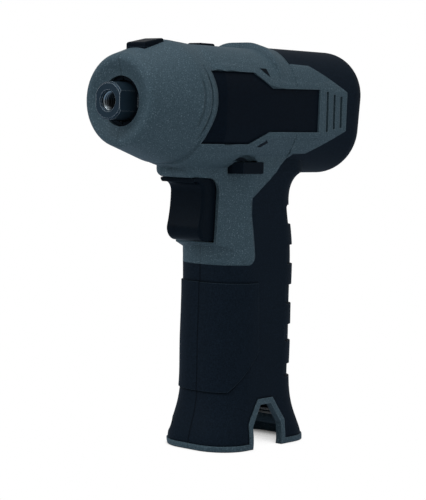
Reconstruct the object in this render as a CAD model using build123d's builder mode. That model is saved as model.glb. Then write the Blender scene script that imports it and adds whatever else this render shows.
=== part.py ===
from build123d import *
import math
import os

# Cordless polisher, millimetres. +Z up, the spindle points along -Y, +X is the user's left.
# The origin is on the table, under the middle of the tool.

# Overall sizes
LENGTH = 152.4  # spindle tip to the back of the rear cap
AXIS_Z = 152.8  # spindle axis above the table
PRESS = 0.02  # radial room of pressed and glued fits
RUN = 0.06  # radial room of running fits
SLIDE = 0.15  # room each side of sliding pieces

# Nose of the housing
SPINDLE_OUT = 7.7  # spindle stands out of the nose face
NOSE_LIFT = 0.4  # the nose sits this far above the spindle axis
NOSE_DISH_R = 12.0  # flat middle of the nose face
NOSE_FACE_R = 18.9  # dished face to its rim
NOSE_RIM_AHEAD = 2.7  # the rim stands ahead of the flat middle
NOSE_RIM = 3.0
NOSE_CREST_R = 26.6
NOSE_CREST_BACK = 22.5  # nose face to crest
NOSE_CREST_ROUND = 14.0
NOSE_WAIST_R = 25.0
NOSE_WAIST_BACK = 43.3  # nose face to waist
NOSE_HOLE_R = 10.6
NOSE_WALL = 3.5

# Barrel of the housing, a rounded square tube with a domed rear end
BARREL_HALF_W = 25.5
BARREL_UP = 25.4  # axis to the top of the barrel
BARREL_DOWN = 29.3  # axis to the underside
BARREL_CORNER = 21.0
BARREL_DOME = 13.0
BARREL_FRONT_BACK = 27.5  # nose face to the barrel's front end
BARREL_LEAD = 12.0  # length over which the barrel grows out of the nose
BARREL_LEAD_IN = 3.0
HUMP_RISE = 2.8
HUMP_BACK = 76.5  # nose face to the hump
HUMP_L = 10.8
HUMP_INSET = 1.0  # the hump's flanks sink into the barrel
CAP_RISE = 0.9  # the rear cap stands out above and below the barrel
CAP_LEAN = 6.0  # degrees that the rear face leans back at the top

# Handle of the housing, lofted from rounded rectangles
GRIP_Y = 9.8  # handle axis
GRIP_AHEAD = 25.0  # handle axis to the front
GRIP_BEHIND = 27.2  # handle axis to the back
GRIP_HALF_W = 18.5
GRIP_CORNER = 15.0
SKIRT_H = 28.0
SKIRT_FLARE_FRONT = 4.8
SKIRT_FLARE_BACK = 7.6
SKIRT_FLARE_SIDE = 2.0
SKIRT_CURVE = 1.6  # the back of the skirt curves outwards
PALM_DROP = 45.5  # underside of the barrel to the top of the palm swell
NECK_DROP = 8.0  # underside of the barrel to the waist of the neck
NECK_DRAW_IN = 3.3
NECK_FLARE = 6.7  # the neck's back sweeps out under the barrel
NECK_CURVE = 2.0
NECK_FLARE_SIDE = 1.6

# Walls
WALL = 2.6
GRIP_WALL = 2.8
RUBBER = 1.6  # soft overmould
RIM_H = 2.6  # bare rim at the foot
RIM_PROUD = 0.5
NOTCH_EDGE = 2.6  # bare edge round the foot notches
NOTCH_HALF_W = 10.0
NOTCH_TOP_HALF_W = 3.75
NOTCH_SHOULDER_Z = 10.0
NOTCH_H = 19.3
SOCKET_DROP = 43.5  # underside of the barrel to the roof of the battery socket
PAD_RISE = 0.7
LADDER_DEPTH = 1.0
LADDER_H = (8.9, 8.9, 8.9, 7.9, 6.0)
LADDER_PITCH = 18.15
LADDER_ROUND = 1.6
LADDER_DROP = 15.0  # underside of the barrel to the top recess
LADDER_BACK = 13.2  # handle axis to the side edge of the recesses
LATCH_LEDGE_Z = 14.0
LATCH_LEDGE_H = 3.0
LATCH_LEDGE_OUT = 3.0
LATCH_LEDGE_HALF_W = 9.0

# Side panels
PANEL_T = 1.2
PANEL_SUNK = 0.5
PANEL_GAP = 0.15
BORDER_W = 2.8  # raised border round the panel
BORDER_RISE = 0.4

# Vents in the barrel
VENT_W = 1.7
VENT_PITCH = 5.2
VENT_LEAD = 2.4  # front of the fan to the first vent
VENT_H = (18.4, 15.8, 14.4)
VENT_DROP = 1.8  # middle of the vents under the axis

# Screws of the clamshell
SCREW_R = 1.5
SCREW_HEAD_R = 3.0
SCREW_HEAD_H = 2.0
SCREW_SOCKET_R = 1.3
SCREW_SEAT_X = 9.0
SCREW_REACH = 6.0
SCREW_BOSS_R = 3.6
SCREW_ROOM = 0.25
SKIRT_SCREW_Z = 8.6
SKIRT_SCREW_IN = 4.4  # outside of the skirt to the screw
DRILL_POINT = 0.5  # the pilot hole is this much deeper than the screw

# Spindle and front bearing
SPINDLE_R = 8.0
SPINDLE_FLATS = 13.6
SPINDLE_FLAT_L = 11.0
SPINDLE_CHAMFER = 0.7
THREAD_R = 3.97
THREAD_DEPTH = 16.0
THREAD_CHAMFER = 0.6
JOURNAL_R = 6.0
BEARING_R = 14.0
BEARING_W = 8.0
BEARING_SPLIT_R = 8.2
RING_BORE_R = 8.9
RING_W = 2.0
RING_NOTCH_W = 1.1
RING_NOTCH_DEPTH = 0.8
RING_NOTCHES = 12

# Gear case
CASE_R = 20.4
CASE_WALL = 2.0
CASE_NECK_R = 15.8
CASE_NECK_L = 8.0
CASE_LIP = 1.8
CASE_LIP_GAP = 0.6
CASE_FRONT_WALL = 1.8
CASE_STEP = 1.4  # shoulder that the ring gear stops on
CASE_FLANGE_R = 22.3
CASE_FLANGE_W = 4.0
CASE_ROOM = 0.1

# Planetary gears: the ring gear stands still, the sun drives, the carrier turns the spindle
MODULE = 0.75
SUN_TEETH = 12
PLANET_TEETH = 15
RING_TEETH = SUN_TEETH + 2 * PLANET_TEETH
PLANETS = 3
PRESSURE_ANGLE = 25.0
ADDENDUM = 0.8
DEDENDUM = 1.1
BACKLASH = 0.10  # thinning of each flank
GEAR_W = 9.6
CARRIER_R = 13.4
CARRIER_W = 4.0
CARRIER_HUB_W = 6.2
LOCK_COLLAR_R = 10.0
LOCK_NOTCH_W = 4.6
LOCK_NOTCH_DEPTH = 1.6
LOCK_NOTCHES = 6
PLANET_PIN_R = 2.0
GEAR_GAP = 0.4  # free play along the axis

# Motor
MOTOR_PLATE_W = 4.0
MOTOR_PLATE_BORE = 6.2
MOTOR_R = 18.0
MOTOR_L = 54.0
MOTOR_WALL = 1.6
MAGNET_T = 3.2
MAGNET_SWEEP = 130.0
MAGNET_MARGIN = 6.0
AIR_GAP = 0.6
SHAFT_R = 2.5
ARMATURE_SLOTS = 7
ARMATURE_SLOT_W = 2.0
ARMATURE_SLOT_DEPTH = 5.0
ARMATURE_MARGIN = 10.0
BUSHING_R = 5.0
BUSHING_W = 5.0
END_BELL_L = 12.0
END_BELL_WALL = 2.0
COMMUTATOR_R = 5.2
COMMUTATOR_L = 9.0
BRUSH_W = 4.0
BRUSH_H = 6.0
BRUSH_GAP = 0.35
FAN_R = 16.5
FAN_L = 8.0
FAN_HUB_R = 5.0
FAN_DISC_T = 1.4
FAN_BLADES = 9
FAN_BLADE_T = 1.2
FAN_GAP = 3.5
RIB_T = 2.4
MOTOR_ROOM = 0.1

# Control board in the rear cap
BOARD_HALF_W = 17.0
BOARD_HALF_H = 15.0
BOARD_T = 1.6
BOARD_FROM_REAR = 20.2
BOARD_EDGE = 3.0  # depth that the board sits in its slot
BOARD_ROOM = 0.1
HEAT_SINK_W = 16.0
HEAT_SINK_H = 12.0
HEAT_SINK_T = 4.0

# Trigger
TRIGGER_HALF_W = 10.0
TRIGGER_DROP = 3.1  # underside of the barrel to the trigger
TRIGGER_H = 27.6
TRIGGER_OUT = 16.5  # front of the handle to the lip of the trigger
TRIGGER_LIP_T = 1.7
TRIGGER_WAIST = 6.0  # lip to the hollow
TRIGGER_TOE = 1.8  # lip to the toe, before its round
TRIGGER_L = 21.7  # lip to the back face
TRIGGER_EDGE = 1.5
TRIGGER_TOE_ROUND = 5.5
TRIGGER_EAR = 1.4
TRIGGER_EAR_H = 12.0
TRIGGER_TRAVEL = 6.0
TRIGGER_ROOM = 0.35
STEM_R = 3.0
STEM_L = 12.0
WINDOW_WALL = 3.0  # front wall beside the trigger

# Trigger guard: a chin over the trigger, cheeks beside it and a ledge under it
GUARD_HALF_W = 11.6
GUARD_ROOT_HALF_W = 17.5
GUARD_ROOT = 10.2  # front of the handle to where the guard sinks into it
CHIN_OUT = 20.6  # front of the handle to the front of the chin
CHIN_ROUND = 5.0
CHIN_EDGE = 3.6
CHEEK_OUT = 3.4  # front of the handle to the front of the cheeks, at the foot
CHEEK_OUT_TOP = 2.2
CHEEK_ROUND = 5.5
CHEEK_BEND = 14.0
LEDGE_T = 0.8
LEDGE_EDGE = 0.6
LEDGE_SLOPE = 4.0  # the ledge runs out into the handle over this height

# Switch behind the trigger
SWITCH_HALF_W = 11.0
SWITCH_H = 23.0
SWITCH_L = 24.0
SWITCH_DROP = 2.0  # top of the switch under the top of the trigger
SWITCH_ROOM = 0.1
SWITCH_FRONT_GAP = 0.4

# Selector bar through the root of the barrel
SELECTOR_DROP = 0.6  # the bar reaches under the barrel
SELECTOR_H = 4.9
SELECTOR_BACK = 1.2  # front of the handle to the front of the bar
SELECTOR_L = 16.2
SELECTOR_REACH = 20.5
SELECTOR_TRAVEL = 8.0
SELECTOR_BEVEL_X = 4.5
SELECTOR_BEVEL_Y = 2.4
SCOOP_R = 10.2  # thumb scoop round the end of the bar
SCOOP_BACK = 6.2  # front of the handle to the middle of the scoop
SCOOP_DROP = 2.5  # underside of the barrel to the middle of the scoop
SCOOP_FLOOR_X = 18.0

# Spindle lock on the nose
LOCK_BACK = 14.1  # nose face to the middle of the button
LOCK_HALF_W = 5.2
LOCK_HALF_L = 5.8
LOCK_PROUD = 1.6  # middle of the button above the nose
LOCK_TILT = 11.5  # degrees that the top rises towards the back
LOCK_TRAVEL = 2.4
LOCK_ROOM = 0.25
LOCK_PIN_R = 2.0
LOCK_PIN_BACK = 2.4  # the pin stands behind the middle of the button
LOCK_PIN_COLLAR_R = 2.9
LOCK_PIN_COLLAR_T = 1.4
LOCK_PIN_GAP = 0.4  # the pressed pin stops this far above the lock collar
LOCK_PIN_GRIP = 1.2  # depth of the pin in the button
BUTTON_EDGE = 0.8

# Speed button on the barrel
SPEED_BACK = 50.2  # nose face to the middle of the button
SPEED_HALF_W = 3.9
SPEED_HALF_L = 4.5
SPEED_PROUD = 1.1
SPEED_FLANGE = 0.5
SPEED_FLANGE_T = 0.9
SPEED_TRAVEL = 0.8
SPEED_ROOM = 0.2

# Terminal block at the top of the battery socket
TERMINAL_BLOCK_HALF_W = 9.0
TERMINAL_BLOCK_HALF_L = 12.0
TERMINAL_BLOCK_H = 9.0
TERMINAL_T = 0.8
TERMINAL_L = 8.0
TERMINAL_DROP = 11.0
TERMINAL_PITCH = 6.0
TERMINALS = 3

# Places that follow from the sizes above
TIP_Y = -LENGTH / 2
REAR_Y = LENGTH / 2
NOSE_Y = TIP_Y + SPINDLE_OUT
NOSE_RIM_Y = NOSE_Y - NOSE_RIM_AHEAD
BARREL_FRONT_Y = NOSE_Y + BARREL_FRONT_BACK
BARREL_TOP = AXIS_Z + BARREL_UP
BARREL_BOTTOM = AXIS_Z - BARREL_DOWN
BARREL_MID_Z = (BARREL_TOP + BARREL_BOTTOM) / 2
CASE_Y = NOSE_Y + NOSE_WALL
BEARING_Y = CASE_Y + CASE_LIP
BEARING_BACK_Y = BEARING_Y + BEARING_W
CASE_CUP_Y = CASE_Y + CASE_NECK_L
COLLAR_Y = BEARING_BACK_Y
CARRIER_Y = COLLAR_Y + CARRIER_HUB_W
CARRIER_BACK_Y = CARRIER_Y + CARRIER_W
GEAR_Y = CARRIER_BACK_Y + GEAR_GAP
GEAR_BACK_Y = GEAR_Y + GEAR_W
PLATE_Y = GEAR_BACK_Y + GEAR_GAP
MOTOR_Y = PLATE_Y + MOTOR_PLATE_W
MOTOR_BACK_Y = MOTOR_Y + MOTOR_L
BELL_BACK_Y = MOTOR_BACK_Y + END_BELL_L
FAN_Y = BELL_BACK_Y + FAN_GAP
FAN_BACK_Y = FAN_Y + FAN_L
SUN_R = MODULE * SUN_TEETH / 2
PLANET_R = MODULE * PLANET_TEETH / 2
PLANET_ORBIT_R = SUN_R + PLANET_R
CASE_BORE_R = CASE_R - CASE_WALL
ARMATURE_R = MOTOR_R - MOTOR_WALL - MAGNET_T - AIR_GAP
LOCK_Y = NOSE_Y + LOCK_BACK
SPEED_Y = NOSE_Y + SPEED_BACK
HUMP_FRONT_Y = NOSE_Y + HUMP_BACK
CAP_Y = HUMP_FRONT_Y + HUMP_L
BOARD_Y = REAR_Y - BOARD_FROM_REAR
VENT_FRONT_Y = FAN_Y + VENT_LEAD
VENT_Z = AXIS_Z - VENT_DROP
GRIP_FRONT_Y = GRIP_Y - GRIP_AHEAD
PALM_Z = BARREL_BOTTOM - PALM_DROP
NECK_Z = BARREL_BOTTOM - NECK_DROP
SOCKET_ROOF_Z = BARREL_BOTTOM - SOCKET_DROP
LADDER_TOP_Z = BARREL_BOTTOM - LADDER_DROP
LADDER_EDGE_Y = GRIP_Y + LADDER_BACK
TRIGGER_TOP_Z = BARREL_BOTTOM - TRIGGER_DROP
TRIGGER_BOTTOM_Z = TRIGGER_TOP_Z - TRIGGER_H
TRIGGER_LIP_Y = GRIP_FRONT_Y - TRIGGER_OUT
TRIGGER_BACK_Y = TRIGGER_LIP_Y + TRIGGER_L
TRIGGER_ROOM_TOP = TRIGGER_TOP_Z + TRIGGER_ROOM
TRIGGER_ROOM_BOTTOM = TRIGGER_BOTTOM_Z - TRIGGER_ROOM
WINDOW_WALL_Y = GRIP_FRONT_Y + WINDOW_WALL
SELECTOR_Z = BARREL_BOTTOM - SELECTOR_DROP
SELECTOR_FRONT_Y = GRIP_FRONT_Y + SELECTOR_BACK
SWITCH_Y = TRIGGER_BACK_Y + TRIGGER_TRAVEL + SWITCH_FRONT_GAP
SWITCH_TOP_Z = TRIGGER_TOP_Z - SWITCH_DROP
FAR = 60.0  # reach of cutting tools past the outside


def on_head(back, up):
    """Place in the side view, measured back from the nose face and up from the spindle axis."""
    return NOSE_Y + back, AXIS_Z + up


def on_neck(back, drop):
    """Place in the side view, measured back from the handle axis and down from the barrel."""
    return GRIP_Y + back, BARREL_BOTTOM - drop


# Outline of the overmould in the side view, over the rear cap and down the handle
OVERMOULD_ROUND = 4.0
OVERMOULD_CORNER = on_neck(-8.9, 41.2)
OVERMOULD = (
    (CAP_Y, AXIS_Z + FAR),
    (CAP_Y, AXIS_Z + 19.0),
    on_head(100.7, 18.7),
    on_head(124.7, 7.5),
    on_head(124.2, -10.3),
    on_head(98.5, -20.9),
    on_head(89.8, -21.2),
    on_head(83.1, -26.3),
    on_neck(-0.8, 3.3),
    on_neck(-12.0, 11.6),
    on_neck(-12.2, 18.7),
    OVERMOULD_CORNER,
    on_neck(-FAR, 41.2),
    (GRIP_Y - FAR, RIM_H),
    (REAR_Y + FAR, RIM_H),
    (REAR_Y + FAR, AXIS_Z + FAR),
)

# Outline of the raised pad on the front of the handle
PAD = (
    on_neck(-FAR, 48.9),
    on_neck(-6.9, 49.5),
    (GRIP_Y - 5.6, 43.1),
    (GRIP_Y - 21.3, 25.9),
    (GRIP_Y - FAR, 24.8),
)

# Outline of a side panel, whose front edge is an arc
PANEL_FRONT_TOP = on_head(31.6, 13.9)
PANEL_FRONT_MID = on_head(32.6, 0.2)
PANEL_FRONT_BOTTOM = on_head(27.6, -17.1)
PANEL = (
    PANEL_FRONT_TOP,
    on_head(58.9, 14.1),
    on_head(70.9, 7.5),
    on_head(103.8, 8.1),
    on_head(103.4, -11.2),
    on_head(69.0, -11.5),
    on_head(56.1, -17.0),
    PANEL_FRONT_BOTTOM,
)

os.makedirs("parts", exist_ok=True)


def on_axis(y):
    """Plane square to the spindle axis, origin on the axis, X right and Z up. It faces forwards."""
    return Plane(origin=(0, y, AXIS_Z), x_dir=(1, 0, 0), z_dir=(0, -1, 0))


def sleeve(front_y, back_y, outer, bore=0.0):
    """Round piece on the spindle axis."""
    with BuildPart() as piece:
        with BuildSketch(on_axis(back_y)):
            Circle(outer)
            if bore > 0:
                Circle(bore, mode=Mode.SUBTRACT)
        extrude(amount=back_y - front_y)
    return piece.part


def block(half_w, front_y, back_y, bottom_z, top_z):
    """Square block, even about the middle plane of the tool."""
    with BuildPart() as piece:
        with BuildSketch(Plane.XY.offset(bottom_z)):
            with Locations((0, (front_y + back_y) / 2)):
                Rectangle(2 * half_w, back_y - front_y)
        extrude(amount=top_z - bottom_z)
    return piece.part


def slab(front_y, back_y):
    """Slice right across the barrel."""
    return block(FAR, front_y, back_y, AXIS_Z - FAR, AXIS_Z + FAR)


def cross_bar(place, x0, x1, radius):
    """Round bar along X at a place in the side view."""
    with BuildPart() as piece:
        with BuildSketch(Plane.YZ.offset(x0)):
            with Locations(place):
                Circle(radius)
        extrude(amount=x1 - x0)
    return piece.part


def side_prism(points):
    """Side outline carried right through the tool along X."""
    with BuildPart() as piece:
        with BuildSketch(Plane.YZ):
            with BuildLine():
                Polyline(*points, close=True)
            make_face()
        extrude(amount=FAR, both=True)
    return piece.part


def nose_form():
    """Nose, a turned form with a dished face."""
    middle_z = AXIS_Z + NOSE_LIFT
    crest_y = NOSE_Y + NOSE_CREST_BACK
    waist_y = NOSE_Y + NOSE_WAIST_BACK
    with BuildPart() as form:
        with BuildSketch(Plane.YZ) as profile:
            with BuildLine():
                Polyline(
                    (NOSE_Y, middle_z),
                    (NOSE_Y, middle_z + NOSE_DISH_R),
                    (NOSE_RIM_Y, middle_z + NOSE_FACE_R),
                    (crest_y, middle_z + NOSE_CREST_R),
                    (waist_y, middle_z + NOSE_WAIST_R),
                    (waist_y + BARREL_LEAD, middle_z + NOSE_WAIST_R),
                    (waist_y + BARREL_LEAD, middle_z),
                    close=True,
                )
            make_face()
            crest = profile.vertices().sort_by(Axis.Y)[-1]
            fillet(crest, NOSE_CREST_ROUND)
            rim = profile.vertices().sort_by(Axis.X)[0]
            fillet(rim, NOSE_RIM)
        revolve(axis=Axis((0, 0, middle_z), (0, -1, 0)))
    return form.part


def barrel_outline(inset, rise=0.0, drop=0.0):
    """Rounded square section of the barrel, drawn in the sketch at hand."""
    top_z = BARREL_TOP + rise - inset
    bottom_z = BARREL_BOTTOM - drop + inset
    with Locations((0, (top_z + bottom_z) / 2)):
        RectangleRounded(2 * (BARREL_HALF_W - inset), top_z - bottom_z, BARREL_CORNER - inset)


def rear_plane(inset):
    """Leaning plane of the rear face, set so that the round at its top reaches back to the full length."""
    lean = math.radians(CAP_LEAN)
    normal = Vector(0, math.cos(lean), -math.sin(lean))
    top = Vector(0, REAR_Y + BARREL_DOME / math.cos(lean) - BARREL_DOME, BARREL_TOP + CAP_RISE - BARREL_DOME)
    return Plane(origin=top - normal * inset, x_dir=(1, 0, 0), z_dir=normal)


def barrel_form(inset):
    """Barrel with its rounded rear cap, drawn in by the inset."""
    full_y = BARREL_FRONT_Y + BARREL_LEAD
    with BuildPart() as form:
        with BuildSketch(Plane.XZ.offset(-REAR_Y - BARREL_DOME)):
            barrel_outline(inset, CAP_RISE, CAP_RISE)
        extrude(amount=REAR_Y + BARREL_DOME - CAP_Y)
        split(bisect_by=rear_plane(inset), keep=Keep.BOTTOM)
        fillet(form.faces().sort_by(Axis.Y)[-1].edges(), BARREL_DOME - inset)
        with BuildSketch(Plane.XZ.offset(-CAP_Y)):
            barrel_outline(inset)
        extrude(amount=CAP_Y - full_y)
        with BuildSketch(Plane.XZ.offset(-full_y)):
            barrel_outline(inset)
        with BuildSketch(Plane.XZ.offset(-BARREL_FRONT_Y)):
            barrel_outline(inset + BARREL_LEAD_IN)
        loft(ruled=True)
    return form.part


def hump_form():
    """Hump on top of the barrel, a step in front that runs out to the rear cap."""
    with BuildPart() as form:
        for y, rise in ((HUMP_FRONT_Y, HUMP_RISE), (CAP_Y, CAP_RISE)):
            with BuildSketch(Plane.XZ.offset(-y)):
                barrel_outline(HUMP_INSET, rise + HUMP_INSET)
        loft(ruled=True)
    return form.part


def grip_section(z, inset):
    """Half width, front, back and corner radius of the handle at a height."""
    flare = max(0.0, 1 - z / SKIRT_H)
    half_w = GRIP_HALF_W + SKIRT_FLARE_SIDE * flare
    front = GRIP_Y - GRIP_AHEAD - SKIRT_FLARE_FRONT * flare
    back = GRIP_Y + GRIP_BEHIND + SKIRT_FLARE_BACK * flare**SKIRT_CURVE
    if z > PALM_Z:
        back = back - NECK_DRAW_IN
    if z > NECK_Z:
        sweep = min(1.0, (z - NECK_Z) / (BARREL_BOTTOM - NECK_Z)) ** NECK_CURVE
        half_w = half_w + NECK_FLARE_SIDE * sweep
        back = back + NECK_FLARE * sweep
    return half_w - inset, front + inset, back - inset, GRIP_CORNER - inset


def screw_places():
    """Clamshell screws in the side view, in the skirt, at the neck, in the rear cap and under the gears."""
    skirt_front_y, skirt_back_y = grip_section(SKIRT_SCREW_Z, SKIRT_SCREW_IN)[1:3]
    return (
        (skirt_front_y, SKIRT_SCREW_Z),
        (skirt_back_y, SKIRT_SCREW_Z),
        on_neck(-17.8, 38.1),
        on_neck(13.7, 36.5),
        on_head(134.5, 12.1),
        on_head(134.5, -15.9),
        on_head(44.5, -22.6),
    )


def grip_form(inset):
    """Handle from the foot up into the barrel, drawn in by the inset."""
    heights = (
        0.0,
        SKIRT_H / 2,
        SKIRT_H,
        1.5 * SKIRT_H,
        (SKIRT_H + PALM_Z) / 2,
        PALM_Z,
        NECK_Z,
        (NECK_Z + BARREL_BOTTOM) / 2,
        BARREL_BOTTOM,
    )
    with BuildPart() as form:
        for z in heights:
            half_w, front, back, corner = grip_section(z, inset)
            with BuildSketch(Plane.XY.offset(z)):
                with Locations((0, (front + back) / 2)):
                    RectangleRounded(2 * half_w, back - front, corner)
        loft()
        extrude(form.faces().sort_by(Axis.Z)[-1], amount=BARREL_CORNER / 2)
    return form.part


def guard_form():
    """Trigger guard in front of the handle: its plan outline, cut to its side outline."""
    root_y = GRIP_FRONT_Y + GUARD_ROOT
    chin_y = GRIP_FRONT_Y - CHIN_OUT
    cheek_y = GRIP_FRONT_Y - CHEEK_OUT
    top_z = BARREL_BOTTOM + BARREL_CORNER / 2
    ledge_z = TRIGGER_ROOM_BOTTOM - LEDGE_T
    foot_z = ledge_z - LEDGE_SLOPE
    half_plan = (
        (GUARD_ROOT_HALF_W, GRIP_Y),
        (GUARD_ROOT_HALF_W, root_y),
        (GUARD_HALF_W, cheek_y),
        (GUARD_HALF_W, chin_y),
    )
    with BuildPart() as form:
        with BuildSketch(Plane.XY.offset(foot_z)) as plan:
            with BuildLine():
                Polyline(*half_plan, *[(-x, y) for x, y in reversed(half_plan)], close=True)
            make_face()
            fillet(plan.vertices().group_by(Axis.Y)[1], CHEEK_BEND)
            fillet(plan.vertices().group_by(Axis.Y)[0], CHIN_ROUND)
        extrude(amount=top_z - foot_z)
        with BuildSketch(Plane.YZ) as side:
            with BuildLine():
                Polyline(
                    (GRIP_Y, top_z),
                    (chin_y, top_z),
                    (chin_y, TRIGGER_ROOM_TOP),
                    (GRIP_FRONT_Y - CHEEK_OUT_TOP, TRIGGER_ROOM_TOP),
                    (cheek_y, ledge_z),
                    (root_y, foot_z),
                    (GRIP_Y, foot_z),
                    close=True,
                )
            make_face()
            rounds = (
                (chin_y, TRIGGER_ROOM_TOP, CHIN_EDGE),
                (GRIP_FRONT_Y - CHEEK_OUT_TOP, TRIGGER_ROOM_TOP, CHEEK_ROUND),
                (cheek_y, ledge_z, LEDGE_EDGE),
            )
            for y, z, radius in rounds:
                fillet(side.vertices().sort_by_distance((y, z, 0))[0], radius)
        extrude(amount=FAR, both=True, mode=Mode.INTERSECT)
    return form.part


def notch_outline(grow):
    """Foot notch in the side view, grown by an edge width."""
    half = NOTCH_HALF_W + grow
    top_half = NOTCH_TOP_HALF_W + grow / 2
    shoulder_z = NOTCH_SHOULDER_Z + grow / 2
    return (
        (GRIP_Y - half, -FAR),
        (GRIP_Y - half, shoulder_z),
        (GRIP_Y - top_half, NOTCH_H + grow),
        (GRIP_Y + top_half, NOTCH_H + grow),
        (GRIP_Y + half, shoulder_z),
        (GRIP_Y + half, -FAR),
    )


def panel_prism(gap):
    """Side panel outline, drawn in by a gap or grown by a negative one, carried outwards along +X."""
    with BuildPart() as piece:
        with BuildSketch(Plane.YZ):
            with BuildLine():
                Polyline(*PANEL)
                ThreePointArc(PANEL_FRONT_BOTTOM, PANEL_FRONT_MID, PANEL_FRONT_TOP)
            make_face()
            if gap != 0:
                offset(amount=-gap)
        extrude(amount=FAR)
    return piece.part


def finish(builder, name):
    """Name a finished piece and write it."""
    builder.part.label = name
    export_step(builder.part, f"parts/{name}.step")


SCREWS = screw_places()

# Bead round the foot and the foot notches, and border round a side panel, both a little proud
with BuildPart() as rim_bead:
    add(block(FAR, -FAR, 2 * FAR, 0.0, RIM_H))
    add(side_prism(notch_outline(NOTCH_EDGE)))
    add(grip_form(-RIM_PROUD), mode=Mode.INTERSECT)

with BuildPart() as panel_border:
    add(barrel_form(-BORDER_RISE))
    add(panel_prism(-BORDER_W), mode=Mode.INTERSECT)

# Outside of the whole housing, and the seat under the overmould
with BuildPart() as outside:
    add(nose_form())
    add(hump_form())
    add([barrel_form(0.0), grip_form(0.0)])
    add(guard_form())
    add(rim_bead.part)
    add(panel_border.part)

with BuildPart() as seat:
    add([barrel_form(RUBBER), grip_form(RUBBER)])

# Room that the overmould fills, outside its seat
with BuildPart() as overmould_room:
    with BuildSketch(Plane.YZ) as outline:
        with BuildLine():
            Polyline(*OVERMOULD, close=True)
        make_face()
        corner = outline.vertices().sort_by_distance((*OVERMOULD_CORNER, 0))[0]
        fillet(corner, OVERMOULD_ROUND)
    extrude(amount=FAR, both=True)
    add([side_prism(notch_outline(NOTCH_EDGE)), seat.part], mode=Mode.SUBTRACT)

# Motor room of the barrel, with cradle ribs and a frame for the control board left standing
first_rib_y = MOTOR_Y + RIB_T + CASE_ROOM
cradle_ribs = [slab(y, y + RIB_T) for y in (MOTOR_Y + MOTOR_L / 2, MOTOR_BACK_Y - 2 * RIB_T)]
board_frame = slab(BOARD_Y - RIB_T, BOARD_Y + BOARD_T + RIB_T)
with BuildPart() as motor_room:
    add(barrel_form(WALL))
    add([slab(first_rib_y - FAR, first_rib_y), *cradle_ribs, board_frame], mode=Mode.SUBTRACT)

# Battery socket, open at the foot, with a latch ledge on its back wall
socket_back_y = grip_section(LATCH_LEDGE_Z, GRIP_WALL)[2]
with BuildPart() as battery_socket:
    add(grip_form(GRIP_WALL))
    latch_front_y = socket_back_y - LATCH_LEDGE_OUT
    latch_top_z = LATCH_LEDGE_Z + LATCH_LEDGE_H
    latch_ledge = block(LATCH_LEDGE_HALF_W, latch_front_y, latch_front_y + FAR, LATCH_LEDGE_Z, latch_top_z)
    above_roof = block(FAR, -FAR, 2 * FAR, SOCKET_ROOF_Z, SOCKET_ROOF_Z + FAR)
    add([latch_ledge, above_roof], mode=Mode.SUBTRACT)

# Bores, windows and slots, each the size of what it holds and a clearance
trigger_half_room = TRIGGER_HALF_W + TRIGGER_ROOM
ear_half_room = trigger_half_room + TRIGGER_EAR
switch_bottom_z = SWITCH_TOP_Z - SWITCH_H
switch_back_y = SWITCH_Y + SWITCH_L + SWITCH_ROOM
selector_back_y = SELECTOR_FRONT_Y + SELECTOR_L
selector_top_z = SELECTOR_Z + SELECTOR_H
board_window_half_h = BOARD_HALF_H - BOARD_EDGE
board_slot_half_h = BOARD_HALF_H + BOARD_ROOM
lock_half_room = LOCK_HALF_L + LOCK_ROOM
speed_half_w = SPEED_HALF_W + SPEED_ROOM
speed_half_room = SPEED_HALF_L + SPEED_ROOM
bores = [
    sleeve(NOSE_Y - FAR, CASE_Y + CASE_ROOM, NOSE_HOLE_R),
    sleeve(CASE_Y, CASE_CUP_Y, CASE_NECK_R + CASE_ROOM),
    sleeve(CASE_CUP_Y - CASE_ROOM, MOTOR_Y, CASE_R + CASE_ROOM),
    sleeve(MOTOR_Y - CASE_FLANGE_W, MOTOR_Y, CASE_FLANGE_R + CASE_ROOM),
    sleeve(MOTOR_Y - CASE_ROOM, MOTOR_BACK_Y, MOTOR_R + MOTOR_ROOM),
]
board_slots = [
    block(
        BOARD_HALF_W - BOARD_EDGE,
        BOARD_Y - 2 * RIB_T,
        BOARD_Y + BOARD_T + 2 * RIB_T,
        BARREL_MID_Z - board_window_half_h,
        BARREL_MID_Z + board_window_half_h,
    ),
    block(
        BOARD_HALF_W + BOARD_ROOM,
        BOARD_Y,
        BOARD_Y + BOARD_T,
        BARREL_MID_Z - board_slot_half_h,
        BARREL_MID_Z + board_slot_half_h,
    ),
]
selector_slot = block(
    FAR, SELECTOR_FRONT_Y - SLIDE, selector_back_y + SLIDE, SELECTOR_Z - SLIDE, selector_top_z + SLIDE
)
with BuildPart() as thumb_scoop:
    scoop_y = GRIP_FRONT_Y + SCOOP_BACK
    with BuildSketch(Plane.YZ.offset(SCOOP_FLOOR_X)):
        with Locations((scoop_y, BARREL_BOTTOM - SCOOP_DROP)):
            Circle(SCOOP_R)
        with Locations((scoop_y, SELECTOR_Z - SCOOP_R)):
            Rectangle(2 * SCOOP_R, 2 * SCOOP_R, mode=Mode.SUBTRACT)
    extrude(amount=FAR)

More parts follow.
